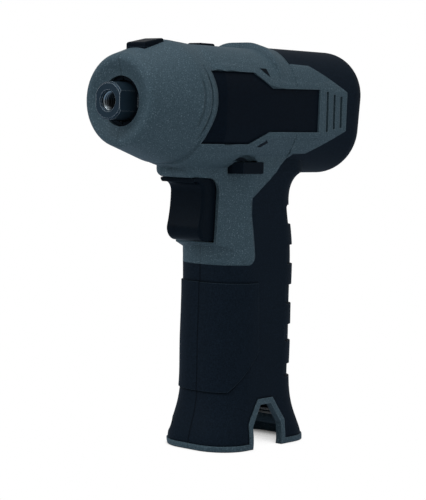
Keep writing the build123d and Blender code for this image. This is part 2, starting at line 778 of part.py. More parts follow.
roof_top_z = AXIS_Z + FAR
windows = [
    block(trigger_half_room, TRIGGER_LIP_Y - FAR, WINDOW_WALL_Y, TRIGGER_ROOM_BOTTOM, TRIGGER_ROOM_TOP),
    block(ear_half_room, WINDOW_WALL_Y, SWITCH_Y, TRIGGER_ROOM_BOTTOM, TRIGGER_ROOM_TOP),
    block(SWITCH_HALF_W + SWITCH_ROOM, SWITCH_Y, switch_back_y, switch_bottom_z, selector_top_z + WALL),
    block(LOCK_HALF_W + LOCK_ROOM, LOCK_Y - lock_half_room, LOCK_Y + lock_half_room, AXIS_Z, roof_top_z),
    block(speed_half_w, SPEED_Y - speed_half_room, SPEED_Y + speed_half_room, AXIS_Z, roof_top_z),
]
vents = []
for index, height in enumerate(VENT_H):
    vent_y = VENT_FRONT_Y + index * VENT_PITCH
    vent_front_y = vent_y - VENT_W / 2
    vents.append(block(FAR, vent_front_y, vent_front_y + VENT_W, VENT_Z - height / 2, VENT_Z + height / 2))

with BuildPart() as screw_bosses:
    for place in SCREWS:
        add(cross_bar(place, -FAR, FAR, SCREW_BOSS_R))

with BuildPart() as openings:
    for tool in (*bores, *board_slots, *windows, *vents, selector_slot, side_prism(notch_outline(0.0))):
        add(tool)

# Inside of the housing, with the screw bosses left standing
with BuildPart() as inside:
    add([motor_room.part, battery_socket.part])
    add(screw_bosses.part, mode=Mode.SUBTRACT)
    add(openings.part)

# Recess for a side panel
with BuildPart() as panel_cut:
    add(panel_prism(0.0))
    add(barrel_form(PANEL_SUNK + PANEL_T), mode=Mode.SUBTRACT)

# One half of the clamshell; the other is its mirror image until the screw holes are drilled
with BuildPart() as half_housing:
    add(outside.part)
    split(bisect_by=Plane.YZ, keep=Keep.TOP)
    for tool in (overmould_room, panel_cut, inside, thumb_scoop):
        add(tool.part, mode=Mode.SUBTRACT)

with BuildPart() as pilot_holes:
    for place in SCREWS:
        add(cross_bar(place, 0, SCREW_REACH + DRILL_POINT, SCREW_R + PRESS))

with BuildPart() as left_housing:
    add(half_housing.part)
    add(pilot_holes.part, mode=Mode.SUBTRACT)
finish(left_housing, "left_housing")

with BuildPart() as screw_holes:
    for place in SCREWS:
        add(cross_bar(place, -FAR, 0, SCREW_R + SCREW_ROOM))
        add(cross_bar(place, -FAR, -SCREW_SEAT_X, SCREW_HEAD_R + SCREW_ROOM))

with BuildPart() as right_housing:
    add(half_housing.part)
    mirror(about=Plane.YZ, mode=Mode.REPLACE)
    add(screw_holes.part, mode=Mode.SUBTRACT)
finish(right_housing, "right_housing")

# Soft overmould on each half, with the raised pad and the ladder of recesses down the back
with BuildPart() as ladder_cut:
    with BuildSketch(Plane.YZ):
        for index, height in enumerate(LADDER_H):
            middle_z = LADDER_TOP_Z - index * LADDER_PITCH - height / 2
            with Locations((LADDER_EDGE_Y + FAR / 2, middle_z)):
                RectangleRounded(FAR, height, LADDER_ROUND)
    extrude(amount=FAR, both=True)
    add(grip_form(LADDER_DEPTH), mode=Mode.SUBTRACT)

with BuildPart() as raised_pad:
    add(grip_form(-PAD_RISE))
    add(side_prism(PAD), mode=Mode.INTERSECT)

with BuildPart() as left_grip:
    add(outside.part)
    add(raised_pad.part)
    split(bisect_by=Plane.YZ, keep=Keep.TOP)
    add(overmould_room.part, mode=Mode.INTERSECT)
    add(ladder_cut.part, mode=Mode.SUBTRACT)
    add(selector_slot, mode=Mode.SUBTRACT)
finish(left_grip, "left_grip")

with BuildPart() as right_grip:
    add(left_grip.part)
    mirror(about=Plane.YZ, mode=Mode.REPLACE)
    add(screw_holes.part, mode=Mode.SUBTRACT)
finish(right_grip, "right_grip")

# Side panels
with BuildPart() as left_side_panel:
    add(barrel_form(PANEL_SUNK))
    add(barrel_form(PANEL_SUNK + PANEL_T), mode=Mode.SUBTRACT)
    add(panel_prism(PANEL_GAP), mode=Mode.INTERSECT)
finish(left_side_panel, "left_side_panel")

with BuildPart() as right_side_panel:
    add(left_side_panel.part)
    mirror(about=Plane.YZ, mode=Mode.REPLACE)
finish(right_side_panel, "right_side_panel")

# Clamshell screws
for number, place in enumerate(SCREWS, start=1):
    with BuildPart() as housing_screw:
        add(cross_bar(place, -SCREW_SEAT_X, SCREW_REACH, SCREW_R))
        add(cross_bar(place, -SCREW_SEAT_X - SCREW_HEAD_H, -SCREW_SEAT_X, SCREW_HEAD_R))
        with BuildSketch(Plane.YZ.offset(-SCREW_SEAT_X - SCREW_HEAD_H)):
            with Locations(place):
                RegularPolygon(SCREW_SOCKET_R, 6)
        extrude(amount=SCREW_HEAD_H / 2, mode=Mode.SUBTRACT)
    finish(housing_screw, f"housing_screw_{number}")

# Spindle: flats and thread in front, journal for the bearing, seat of the carrier behind
with BuildPart() as spindle:
    add(sleeve(TIP_Y, BEARING_Y, SPINDLE_R))
    chamfer(spindle.faces().sort_by(Axis.Y)[0].edges(), SPINDLE_CHAMFER)
    with BuildSketch(on_axis(TIP_Y)):
        Rectangle(2 * SPINDLE_R, 4 * SPINDLE_R)
        Rectangle(SPINDLE_FLATS, 4 * SPINDLE_R, mode=Mode.SUBTRACT)
    extrude(amount=-SPINDLE_FLAT_L, mode=Mode.SUBTRACT)
    add(sleeve(BEARING_Y, CARRIER_BACK_Y, JOURNAL_R))
    add(sleeve(TIP_Y, TIP_Y + THREAD_DEPTH, THREAD_R), mode=Mode.SUBTRACT)
    mouth = spindle.edges().filter_by(GeomType.CIRCLE).group_by(Axis.Y)[0].sort_by(SortBy.RADIUS)[0]
    chamfer(mouth, THREAD_CHAMFER)
finish(spindle, "spindle")

# Front ball bearing, shielded, as its two rings
with BuildPart() as front_bearing_outer:
    add(sleeve(BEARING_Y, BEARING_BACK_Y, BEARING_R - PRESS, BEARING_SPLIT_R + RUN))
finish(front_bearing_outer, "front_bearing_outer")

with BuildPart() as front_bearing_inner:
    add(sleeve(BEARING_Y, BEARING_BACK_Y, BEARING_SPLIT_R, JOURNAL_R + PRESS))
finish(front_bearing_inner, "front_bearing_inner")

# Notched dust ring in the nose hole
with BuildPart() as dust_ring:
    add(sleeve(CASE_Y - RING_W, CASE_Y, NOSE_HOLE_R - RUN, RING_BORE_R))
    with BuildSketch(on_axis(CASE_Y - RING_W)):
        with PolarLocations(RING_BORE_R, RING_NOTCHES):
            Rectangle(2 * RING_NOTCH_DEPTH, RING_NOTCH_W)
    extrude(amount=-RING_W / 2, mode=Mode.SUBTRACT)
finish(dust_ring, "dust_ring")

# Gear case: a neck round the bearing, a stepped bore for the gears, a rear flange
lock_pin_y = LOCK_Y + LOCK_PIN_BACK
collar_room_y = CASE_CUP_Y + CASE_FRONT_WALL
with BuildPart() as gear_case:
    add(sleeve(CASE_Y, CASE_CUP_Y, CASE_NECK_R))
    add(sleeve(CASE_CUP_Y, MOTOR_Y, CASE_R))
    add(sleeve(MOTOR_Y - CASE_FLANGE_W, MOTOR_Y, CASE_FLANGE_R))
    add(sleeve(CASE_Y, BEARING_Y, SPINDLE_R + CASE_LIP_GAP), mode=Mode.SUBTRACT)
    add(sleeve(BEARING_Y, collar_room_y, BEARING_R), mode=Mode.SUBTRACT)
    add(sleeve(collar_room_y, GEAR_Y, CASE_BORE_R - CASE_STEP), mode=Mode.SUBTRACT)
    add(sleeve(GEAR_Y, MOTOR_Y, CASE_BORE_R), mode=Mode.SUBTRACT)
    with BuildSketch(Plane.XY.offset(AXIS_Z)):
        with Locations((0, lock_pin_y)):
            Circle(LOCK_PIN_R + RUN)
    extrude(amount=CASE_R, mode=Mode.SUBTRACT)
finish(gear_case, "gear_case")


def tooth_points(teeth, grow, addendum, dedendum):
    """Root, pitch and tip of one flank as (radius, half angle), grown by a flank thickness."""
    pitch_r = MODULE * teeth / 2
    base_r = pitch_r * math.cos(math.radians(PRESSURE_ANGLE))
    flat = math.tan(math.radians(PRESSURE_ANGLE)) - math.radians(PRESSURE_ANGLE)
    half = math.pi / (2 * teeth) + grow / pitch_r
    points = []
    for radius in (pitch_r - dedendum * MODULE, pitch_r, pitch_r + addendum * MODULE):
        roll = math.acos(min(1.0, base_r / radius))
        points.append((radius, half + flat - (math.tan(roll) - roll)))
    return points


def gear_outline(teeth, phase, grow, addendum, dedendum):
    """Closed gear outline with involute flanks drawn as arcs, in the line at hand."""
    flank = tooth_points(teeth, grow, addendum, dedendum)
    pitch_angle = 2 * math.pi / teeth
    root_r, root_a = flank[0]
    for tooth in range(teeth):
        middle = phase + tooth * pitch_angle
        following = middle + pitch_angle - root_a
        rise = [(r * math.cos(middle - a), r * math.sin(middle - a)) for r, a in flank]
        fall = [(r * math.cos(middle + a), r * math.sin(middle + a)) for r, a in reversed(flank)]
        ThreePointArc(*rise)
        Line(rise[-1], fall[0])
        ThreePointArc(*fall)
        Line(fall[-1], (root_r * math.cos(following), root_r * math.sin(following)))


def spur_gear(teeth, phase, plane, bore, width):
    """Spur gear with teeth thinned for backlash."""
    with BuildPart() as piece:
        with BuildSketch(plane):
            with BuildLine():
                gear_outline(teeth, phase, -BACKLASH, ADDENDUM, DEDENDUM)
            make_face()
            Circle(bore, mode=Mode.SUBTRACT)
        extrude(amount=width)
    return piece.part


# Ring gear, whose tooth spaces are a gear outline grown for backlash
ring_phase = math.pi * (PLANET_TEETH + 1) / RING_TEETH
with BuildPart() as ring_gear:
    add(sleeve(GEAR_Y, PLATE_Y, CASE_BORE_R - PRESS))
    with BuildSketch(on_axis(PLATE_Y)):
        with BuildLine():
            gear_outline(RING_TEETH, ring_phase, BACKLASH, DEDENDUM, ADDENDUM)
        make_face()
    extrude(amount=PLATE_Y - GEAR_Y, mode=Mode.SUBTRACT)
finish(ring_gear, "ring_gear")

# Carrier with its notched lock collar, pressed on the spindle
planet_angles = [index * 2 * math.pi / PLANETS for index in range(PLANETS)]
planet_places = [(PLANET_ORBIT_R * math.cos(a), PLANET_ORBIT_R * math.sin(a)) for a in planet_angles]
with BuildPart() as planet_carrier:
    add(sleeve(COLLAR_Y, CARRIER_Y, LOCK_COLLAR_R))
    with BuildSketch(on_axis(CARRIER_Y)):
        with PolarLocations(LOCK_COLLAR_R, LOCK_NOTCHES, start_angle=90):
            Rectangle(2 * LOCK_NOTCH_DEPTH, LOCK_NOTCH_W)
    extrude(amount=CARRIER_HUB_W, mode=Mode.SUBTRACT)
    add(sleeve(CARRIER_Y, CARRIER_BACK_Y, CARRIER_R))
    with BuildSketch(on_axis(CARRIER_BACK_Y)):
        with Locations(*planet_places):
            Circle(PLANET_PIN_R + PRESS)
    extrude(amount=CARRIER_W, mode=Mode.SUBTRACT)
    add(sleeve(COLLAR_Y, CARRIER_BACK_Y, JOURNAL_R + PRESS), mode=Mode.SUBTRACT)
finish(planet_carrier, "planet_carrier")

# Planet pins and planet gears, set so that each meshes with the sun and the ring
for number, (angle, (x, z)) in enumerate(zip(planet_angles, planet_places), start=1):
    with BuildPart() as planet_pin:
        with BuildSketch(on_axis(GEAR_BACK_Y)):
            with Locations((x, z)):
                Circle(PLANET_PIN_R)
        extrude(amount=GEAR_BACK_Y - CARRIER_Y)
    finish(planet_pin, f"planet_pin_{number}")

    planet_plane = Plane(origin=(x, GEAR_BACK_Y, AXIS_Z + z), x_dir=(1, 0, 0), z_dir=(0, -1, 0))
    planet_phase = angle + math.pi - math.pi / PLANET_TEETH + angle * SUN_TEETH / PLANET_TEETH
    with BuildPart() as planet_gear:
        add(spur_gear(PLANET_TEETH, planet_phase, planet_plane, PLANET_PIN_R + RUN, GEAR_W - GEAR_GAP / 2))
    finish(planet_gear, f"planet_gear_{number}")

# Sun pinion on the motor shaft
with BuildPart() as motor_pinion:
    add(spur_gear(SUN_TEETH, 0.0, on_axis(GEAR_BACK_Y), SHAFT_R + PRESS, GEAR_W - GEAR_GAP))
finish(motor_pinion, "motor_pinion")

# Plate that closes the gear case and carries the motor
with BuildPart() as motor_plate:
    add(sleeve(PLATE_Y, MOTOR_Y, CASE_BORE_R - PRESS, MOTOR_PLATE_BORE))
finish(motor_plate, "motor_plate")

# Motor can with its front bushing boss, open at the back
with BuildPart() as motor_can:
    add(sleeve(MOTOR_Y, MOTOR_BACK_Y, MOTOR_R))
    add(sleeve(MOTOR_Y + MOTOR_WALL, MOTOR_BACK_Y, MOTOR_R - MOTOR_WALL), mode=Mode.SUBTRACT)
    add(sleeve(MOTOR_Y, MOTOR_Y + BUSHING_W, BUSHING_R))
    add(sleeve(MOTOR_Y, MOTOR_Y + BUSHING_W, SHAFT_R + RUN), mode=Mode.SUBTRACT)
finish(motor_can, "motor_can")

# Two arc magnets glued in the can
magnet_r = MOTOR_R - MOTOR_WALL - PRESS
magnet_back_y = MOTOR_BACK_Y - MAGNET_MARGIN
magnet_swing = math.radians(MAGNET_SWEEP / 2)
for number, side in ((1, 1), (2, -1)):
    edge = (side * 2 * MOTOR_R, 2 * MOTOR_R * math.tan(magnet_swing))
    with BuildPart() as magnet:
        add(sleeve(MOTOR_Y + MAGNET_MARGIN, magnet_back_y, magnet_r, magnet_r - MAGNET_T))
        with BuildSketch(on_axis(magnet_back_y)):
            with BuildLine():
                Polyline((0, 0), edge, (edge[0], -edge[1]), close=True)
            make_face()
        extrude(amount=MOTOR_L, mode=Mode.INTERSECT)
    finish(magnet, f"magnet_{number}")

# Rotor: shaft, slotted armature, commutator and fan
with BuildPart() as motor_shaft:
    add(sleeve(GEAR_Y + GEAR_GAP, FAN_BACK_Y, SHAFT_R))
finish(motor_shaft, "motor_shaft")

armature_back_y = MOTOR_BACK_Y - ARMATURE_MARGIN
with BuildPart() as armature:
    add(sleeve(MOTOR_Y + ARMATURE_MARGIN, armature_back_y, ARMATURE_R, SHAFT_R + PRESS))
    with BuildSketch(on_axis(armature_back_y)):
        with PolarLocations(ARMATURE_R, ARMATURE_SLOTS):
            Rectangle(2 * ARMATURE_SLOT_DEPTH, ARMATURE_SLOT_W)
    extrude(amount=armature_back_y - MOTOR_Y, mode=Mode.SUBTRACT)
finish(armature, "armature")

commutator_y = MOTOR_BACK_Y - COMMUTATOR_L / 2
with BuildPart() as commutator:
    add(sleeve(commutator_y, commutator_y + COMMUTATOR_L, COMMUTATOR_R, SHAFT_R + PRESS))
finish(commutator, "commutator")

with BuildPart() as cooling_fan:
    add(sleeve(FAN_Y, FAN_BACK_Y, FAN_HUB_R))
    add(sleeve(FAN_Y, FAN_Y + FAN_DISC_T, FAN_R))
    with BuildSketch(on_axis(FAN_BACK_Y)):
        with PolarLocations((FAN_R + FAN_HUB_R) / 2 - FAN_BLADE_T, FAN_BLADES):
            Rectangle(FAN_R - FAN_HUB_R, FAN_BLADE_T)
    extrude(amount=FAN_L)
    add(sleeve(FAN_Y, FAN_BACK_Y, SHAFT_R + PRESS), mode=Mode.SUBTRACT)
finish(cooling_fan, "cooling_fan")

# End bell with the rear bushing and two brushes
rear_bushing_y = BELL_BACK_Y - BUSHING_W
brush_half_room = BRUSH_H / 2 + PRESS
with BuildPart() as end_bell:
    add(sleeve(MOTOR_BACK_Y, BELL_BACK_Y, MOTOR_R))
    add(sleeve(MOTOR_BACK_Y, rear_bushing_y, MOTOR_R - END_BELL_WALL), mode=Mode.SUBTRACT)
    add(sleeve(rear_bushing_y, BELL_BACK_Y, BUSHING_R + PRESS), mode=Mode.SUBTRACT)
    brush_y = MOTOR_BACK_Y + BRUSH_W + PRESS
    brush_window = block(FAR, MOTOR_BACK_Y, brush_y, AXIS_Z - brush_half_room, AXIS_Z + brush_half_room)
    add(brush_window, mode=Mode.SUBTRACT)
finish(end_bell, "end_bell")

with BuildPart() as rear_bushing:
    add(sleeve(rear_bushing_y, BELL_BACK_Y, BUSHING_R, SHAFT_R + RUN))
finish(rear_bushing, "rear_bushing")

for number, side in ((1, 1), (2, -1)):
    with BuildPart() as brush:
        with BuildSketch(Plane.YZ.offset(side * (COMMUTATOR_R + BRUSH_GAP))):
            with Locations((MOTOR_BACK_Y + BRUSH_W / 2, AXIS_Z)):
                Rectangle(BRUSH_W, BRUSH_H)
        extrude(amount=side * (MOTOR_R - COMMUTATOR_R - BRUSH_GAP))
    finish(brush, f"brush_{number}")

# Control board in its frame, with a heat sink
board_back_y = BOARD_Y + BOARD_T
with BuildPart() as control_board:
    add(block(BOARD_HALF_W, BOARD_Y, board_back_y, BARREL_MID_Z - BOARD_HALF_H, BARREL_MID_Z + BOARD_HALF_H))
finish(control_board, "control_board")

sink_bottom_z = BARREL_MID_Z - HEAT_SINK_H / 2
sink_back_y = board_back_y + HEAT_SINK_T
with BuildPart() as heat_sink:
    add(block(HEAT_SINK_W / 2, board_back_y, sink_back_y, sink_bottom_z, sink_bottom_z + HEAT_SINK_H))
finish(heat_sink, "heat_sink")

# Trigger: a side profile with a finger hollow, ears that stop it in the window, and a stem
trigger_mid_z = (TRIGGER_TOP_Z + TRIGGER_BOTTOM_Z) / 2
lip_foot = (TRIGGER_LIP_Y, TRIGGER_TOP_Z - TRIGGER_LIP_T)
hollow_top = (TRIGGER_LIP_Y + TRIGGER_LIP_T, TRIGGER_TOP_Z - TRIGGER_LIP_T)
hollow_waist = (TRIGGER_LIP_Y + TRIGGER_WAIST, hollow_top[1] - TRIGGER_WAIST + TRIGGER_LIP_T)
trigger_toe = (TRIGGER_LIP_Y + TRIGGER_TOE, TRIGGER_BOTTOM_Z)
ear_bottom_z = trigger_mid_z - TRIGGER_EAR_H / 2
with BuildPart() as trigger:
    with BuildSketch(Plane.YZ) as trigger_side:
        with BuildLine():
            Polyline((TRIGGER_BACK_Y, TRIGGER_TOP_Z), (TRIGGER_LIP_Y, TRIGGER_TOP_Z), lip_foot, hollow_top)
            TangentArc(hollow_top, hollow_waist, tangent=(1, 0))
            TangentArc(hollow_waist, trigger_toe, tangent=(0, -1))
            Polyline(trigger_toe, (TRIGGER_BACK_Y, TRIGGER_BOTTOM_Z), (TRIGGER_BACK_Y, TRIGGER_TOP_Z))
        make_face()
        fillet(trigger_side.vertices().sort_by_distance((*trigger_toe, 0))[0], TRIGGER_TOE_ROUND)
    extrude(amount=TRIGGER_HALF_W, both=True)
    hollow = trigger.faces().filter_by(GeomType.CYLINDER).sort_by(SortBy.AREA)[-1]
    fillet(hollow.edges().filter_by(GeomType.CIRCLE), TRIGGER_EDGE)
    ear_half_w = TRIGGER_HALF_W + TRIGGER_EAR
    add(block(ear_half_w, WINDOW_WALL_Y, TRIGGER_BACK_Y, ear_bottom_z, ear_bottom_z + TRIGGER_EAR_H))
    with BuildSketch(Plane.XZ.offset(-TRIGGER_BACK_Y)):
        with Locations((0, trigger_mid_z)):
            Circle(STEM_R)
    extrude(amount=-STEM_L)
finish(trigger, "trigger")

# Switch behind the trigger
with BuildPart() as switch_body:
    add(block(SWITCH_HALF_W, SWITCH_Y, SWITCH_Y + SWITCH_L, switch_bottom_z, SWITCH_TOP_Z))
    with BuildSketch(Plane.XZ.offset(-SWITCH_Y)):
        with Locations((0, trigger_mid_z)):
            Circle(STEM_R + RUN)
    extrude(amount=-(STEM_L + SWITCH_FRONT_GAP), mode=Mode.SUBTRACT)
finish(switch_body, "switch_body")

# Selector bar, bevelled at both ends and pushed out to the left
selector_right_x = SELECTOR_TRAVEL - SELECTOR_REACH
selector_bevel_y = SELECTOR_FRONT_Y + SELECTOR_BEVEL_Y
with BuildPart() as selector_bar:
    with BuildSketch(Plane.XY.offset(SELECTOR_Z)):
        with BuildLine():
            Polyline(
                (selector_right_x + SELECTOR_BEVEL_X, SELECTOR_FRONT_Y),
                (SELECTOR_REACH - SELECTOR_BEVEL_X, SELECTOR_FRONT_Y),
                (SELECTOR_REACH, selector_bevel_y),
                (SELECTOR_REACH, selector_back_y),
                (selector_right_x, selector_back_y),
                (selector_right_x, selector_bevel_y),
                close=True,
            )
        make_face()
    extrude(amount=SELECTOR_H)
finish(selector_bar, "selector_bar")

# Spindle lock button, whose top stands above the slope of the nose, on its steel pin
nose_slope = (NOSE_CREST_R - NOSE_FACE_R) / (NOSE_CREST_BACK + NOSE_RIM_AHEAD)
nose_top_z = AXIS_Z + NOSE_LIFT + NOSE_FACE_R + nose_slope * (LOCK_BACK + NOSE_RIM_AHEAD)
lock_front_y = LOCK_Y - LOCK_HALF_L
lock_back_y = LOCK_Y + LOCK_HALF_L
lock_mid_z = nose_top_z + LOCK_PROUD
lock_rise = LOCK_HALF_L * math.tan(math.radians(LOCK_TILT))
lock_base_z = AXIS_Z + CASE_R + LOCK_TRAVEL + LOCK_ROOM
with BuildPart() as lock_button:
    with BuildSketch(Plane.YZ):
        with BuildLine():
            Polyline(
                (lock_front_y, lock_base_z),
                (lock_front_y, lock_mid_z - lock_rise),
                (lock_back_y, lock_mid_z + lock_rise),
                (lock_back_y, lock_base_z),
                close=True,
            )
        make_face()
    extrude(amount=LOCK_HALF_W, both=True)
    fillet(lock_button.faces().sort_by(Axis.Z)[-1].edges(), BUTTON_EDGE)
    with BuildSketch(Plane.XY.offset(lock_base_z)):
        with Locations((0, lock_pin_y)):
            Circle(LOCK_PIN_R + PRESS)
    extrude(amount=LOCK_PIN_GRIP, mode=Mode.SUBTRACT)
finish(lock_button, "lock_button")

pin_collar_top = AXIS_Z + math.sqrt((CASE_BORE_R - CASE_STEP) ** 2 - LOCK_PIN_COLLAR_R**2) - PRESS
pin_tip_z = AXIS_Z + LOCK_COLLAR_R + LOCK_PIN_GAP + LOCK_TRAVEL
with BuildPart() as lock_pin:
    with BuildSketch(Plane.XY.offset(pin_tip_z)):
        with Locations((0, lock_pin_y)):
            Circle(LOCK_PIN_R)
    extrude(amount=lock_base_z + LOCK_PIN_GRIP - pin_tip_z)
    with BuildSketch(Plane.XY.offset(pin_collar_top)):
        with Locations((0, lock_pin_y)):
            Circle(LOCK_PIN_COLLAR_R)
    extrude(amount=-LOCK_PIN_COLLAR_T)
finish(lock_pin, "lock_pin")

# Speed button, held under the roof of the barrel by its flange, over a small switch on the motor
roof_z = BARREL_TOP - WALL
flange_base_z = roof_z - SPEED_FLANGE_T
flange_half_w = SPEED_HALF_W + SPEED_FLANGE
flange_half_l = SPEED_HALF_L + SPEED_FLANGE
speed_front_y = SPEED_Y - SPEED_HALF_L
speed_back_y = SPEED_Y + SPEED_HALF_L
with BuildPart() as speed_button:
    add(block(SPEED_HALF_W, speed_front_y, speed_back_y, flange_base_z, BARREL_TOP + SPEED_PROUD))
    fillet(speed_button.faces().sort_by(Axis.Z)[-1].edges(), BUTTON_EDGE)
    add(block(flange_half_w, SPEED_Y - flange_half_l, SPEED_Y + flange_half_l, flange_base_z, roof_z))
finish(speed_button, "speed_button")

tact_base_z = AXIS_Z + MOTOR_R + PRESS
tact_top_z = flange_base_z - SPEED_TRAVEL - SPEED_ROOM
with BuildPart() as speed_switch:
    add(block(SPEED_HALF_W, speed_front_y, speed_back_y, tact_base_z, tact_top_z))
finish(speed_switch, "speed_switch")

# Terminal block at the top of the battery socket, with its blades
block_base_z = SOCKET_ROOF_Z - TERMINAL_BLOCK_H
blade_top_z = block_base_z + TERMINAL_BLOCK_H / 2
block_front_y = GRIP_Y - TERMINAL_BLOCK_HALF_L
block_back_y = GRIP_Y + TERMINAL_BLOCK_HALF_L
blade_places = [((index - (TERMINALS - 1) / 2) * TERMINAL_PITCH, GRIP_Y) for index in range(TERMINALS)]
with BuildPart() as terminal_block:
    add(block(TERMINAL_BLOCK_HALF_W, block_front_y, block_back_y, block_base_z, SOCKET_ROOF_Z))
    with BuildSketch(Plane.XY.offset(block_base_z)):
        with Locations(*blade_places):
            Rectangle(TERMINAL_T + 2 * PRESS, TERMINAL_L + 2 * PRESS)
    extrude(amount=TERMINAL_BLOCK_H / 2, mode=Mode.SUBTRACT)
finish(terminal_block, "terminal_block")

for number, place in enumerate(blade_places, start=1):
    with BuildPart() as terminal:
        with BuildSketch(Plane.XY.offset(blade_top_z)):
            with Locations(place):
                Rectangle(TERMINAL_T, TERMINAL_L)
        extrude(amount=-TERMINAL_DROP)
    finish(terminal, f"terminal_{number}")
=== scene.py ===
# %% [markdown]
# # A cordless polisher, dressed for a studio photograph
#
# The solids of the tool come in as a fixed frame: each has its real size in metres and its place, and rides
# on the body that it moves with. This lesson gives every piece the finish of its real material, adds the
# thread of the spindle and a few small pieces, cuts fine grooves into the housing and rounds its chin, and
# sets up the camera, the floor and the light of a plain product photograph.

import math

import bmesh
import bpy
from mathutils import Matrix, Vector
from mathutils.bvhtree import BVHTree


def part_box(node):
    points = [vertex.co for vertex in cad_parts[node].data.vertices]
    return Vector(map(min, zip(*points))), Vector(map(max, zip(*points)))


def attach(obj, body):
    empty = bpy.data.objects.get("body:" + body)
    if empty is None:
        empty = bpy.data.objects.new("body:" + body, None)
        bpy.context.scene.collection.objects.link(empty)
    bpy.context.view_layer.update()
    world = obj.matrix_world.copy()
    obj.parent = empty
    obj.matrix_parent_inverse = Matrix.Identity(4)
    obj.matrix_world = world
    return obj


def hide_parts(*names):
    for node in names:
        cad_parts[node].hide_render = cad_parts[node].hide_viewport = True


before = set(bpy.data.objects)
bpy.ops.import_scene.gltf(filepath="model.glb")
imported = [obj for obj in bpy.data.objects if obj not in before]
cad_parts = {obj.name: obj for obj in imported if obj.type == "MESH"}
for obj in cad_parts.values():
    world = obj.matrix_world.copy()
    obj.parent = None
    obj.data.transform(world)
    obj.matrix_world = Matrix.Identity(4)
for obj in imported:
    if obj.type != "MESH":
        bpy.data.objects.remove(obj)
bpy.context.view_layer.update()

# %% [markdown]
# ## Colours and nodes
#
# Colours are written as sRGB hex values, the way that a colour card or a picture editor gives them.
# Blender's shaders work in linear light, so one function turns each hex value to linear. A second small
# function adds a shader node with its settings and links. Every material below is built with these two.

# %% Helpers for materials
MM = 0.001
HIGHLIGHT_COSINES = (0.97, 0.86)  # between plain and softened normal: no painted highlight, and a full one


def linear(hex_colour):
    """Linear RGBA of an sRGB hex colour."""
    parts = [int(hex_colour[i:i + 2], 16) / 255 for i in (1, 3, 5)]
    return [c / 12.92 if c <= 0.04045 else ((c + 0.055) / 1.055) ** 2.4 for c in parts] + [1.0]


def node(tree, kind, settings=None, inputs=None):
    """Adds a shader node. An input is a plain value, or an output of another node to link."""
    made = tree.nodes.new("ShaderNode" + kind)
    for name, value in (settings or {}).items():
        setattr(made, name, value)
    for key, value in (inputs or {}).items():
        if isinstance(value, bpy.types.NodeSocket):
            tree.links.new(value, made.inputs[key])
        else:
            made.inputs[key].default_value = value
    return made


def start_material(name):
    """A new material with a Principled shader, and the coordinates of the solid in metres."""
    material = bpy.data.materials.new(name)
    material.use_nodes = True
    tree = material.node_tree
    shader = tree.nodes["Principled BSDF"]
    place = node(tree, "TexCoord").outputs["Object"]
    return material, tree, shader, place


def paint_edge_highlight(tree, soft_edge, colour, highlight_colour):
    """Paints a paler highlight along sharp edges, where a softened normal departs from the plain one."""
    plain = node(tree, "NewGeometry").outputs["Normal"]
    same = node(tree, "VectorMath", {"operation": "DOT_PRODUCT"}, {0: soft_edge, 1: plain})
    share = node(tree, "MapRange", inputs={"Value": same.outputs["Value"], "From Min": HIGHLIGHT_COSINES[0],
                                           "From Max": HIGHLIGHT_COSINES[1]})
    return node(tree, "MixRGB", inputs={"Fac": share.outputs["Result"], "Color1": colour,
                                        "Color2": linear(highlight_colour)}).outputs["Color"]


print("white is", [round(c, 3) for c in linear("#FFFFFF")])

# %% [markdown]
# ## Moulded plastics and rubber
#
# A moulded part copies the surface of its steel tool. The housing's tool was spark eroded, which leaves a
# fine even grain of tiny craters, so the plastic looks matt, with pale specks. The soft overmould comes
# from a finer tool and soaks up light. One recipe serves them all: two close colours and a speck mixed by a
# fine noise, a painted highlight along sharp edges, a darker seam where two halves meet, painted shade in
# crevices and inside corners, the same noise pressed into the surface as a bump, and a slow noise that makes
# the gloss a little uneven, as handling does. The grain's scale is worked out from its width in millimetres.

# %% Recipe for a moulded surface
GRAIN_STOPS = (0.35, 0.60, 0.70)  # noise values of the dark colour, the light one and the speck
PLASTIC_EDGE_MM = 0.4  # radius of a moulded edge
SEAM_MM = (0.3, 0.5)  # distances from the middle plane at which the seam starts to fade, and is gone
CREVICE_SHADE_SHARE = 0.3  # painted shade: share of the colour left in the deepest crevice
HANDLING_MM = 35  # width of the patches that handling leaves
PLASTIC_IOR = 1.5
ROOM_TINT = "#C4D6EA"  # cool colour of the studio in reflections


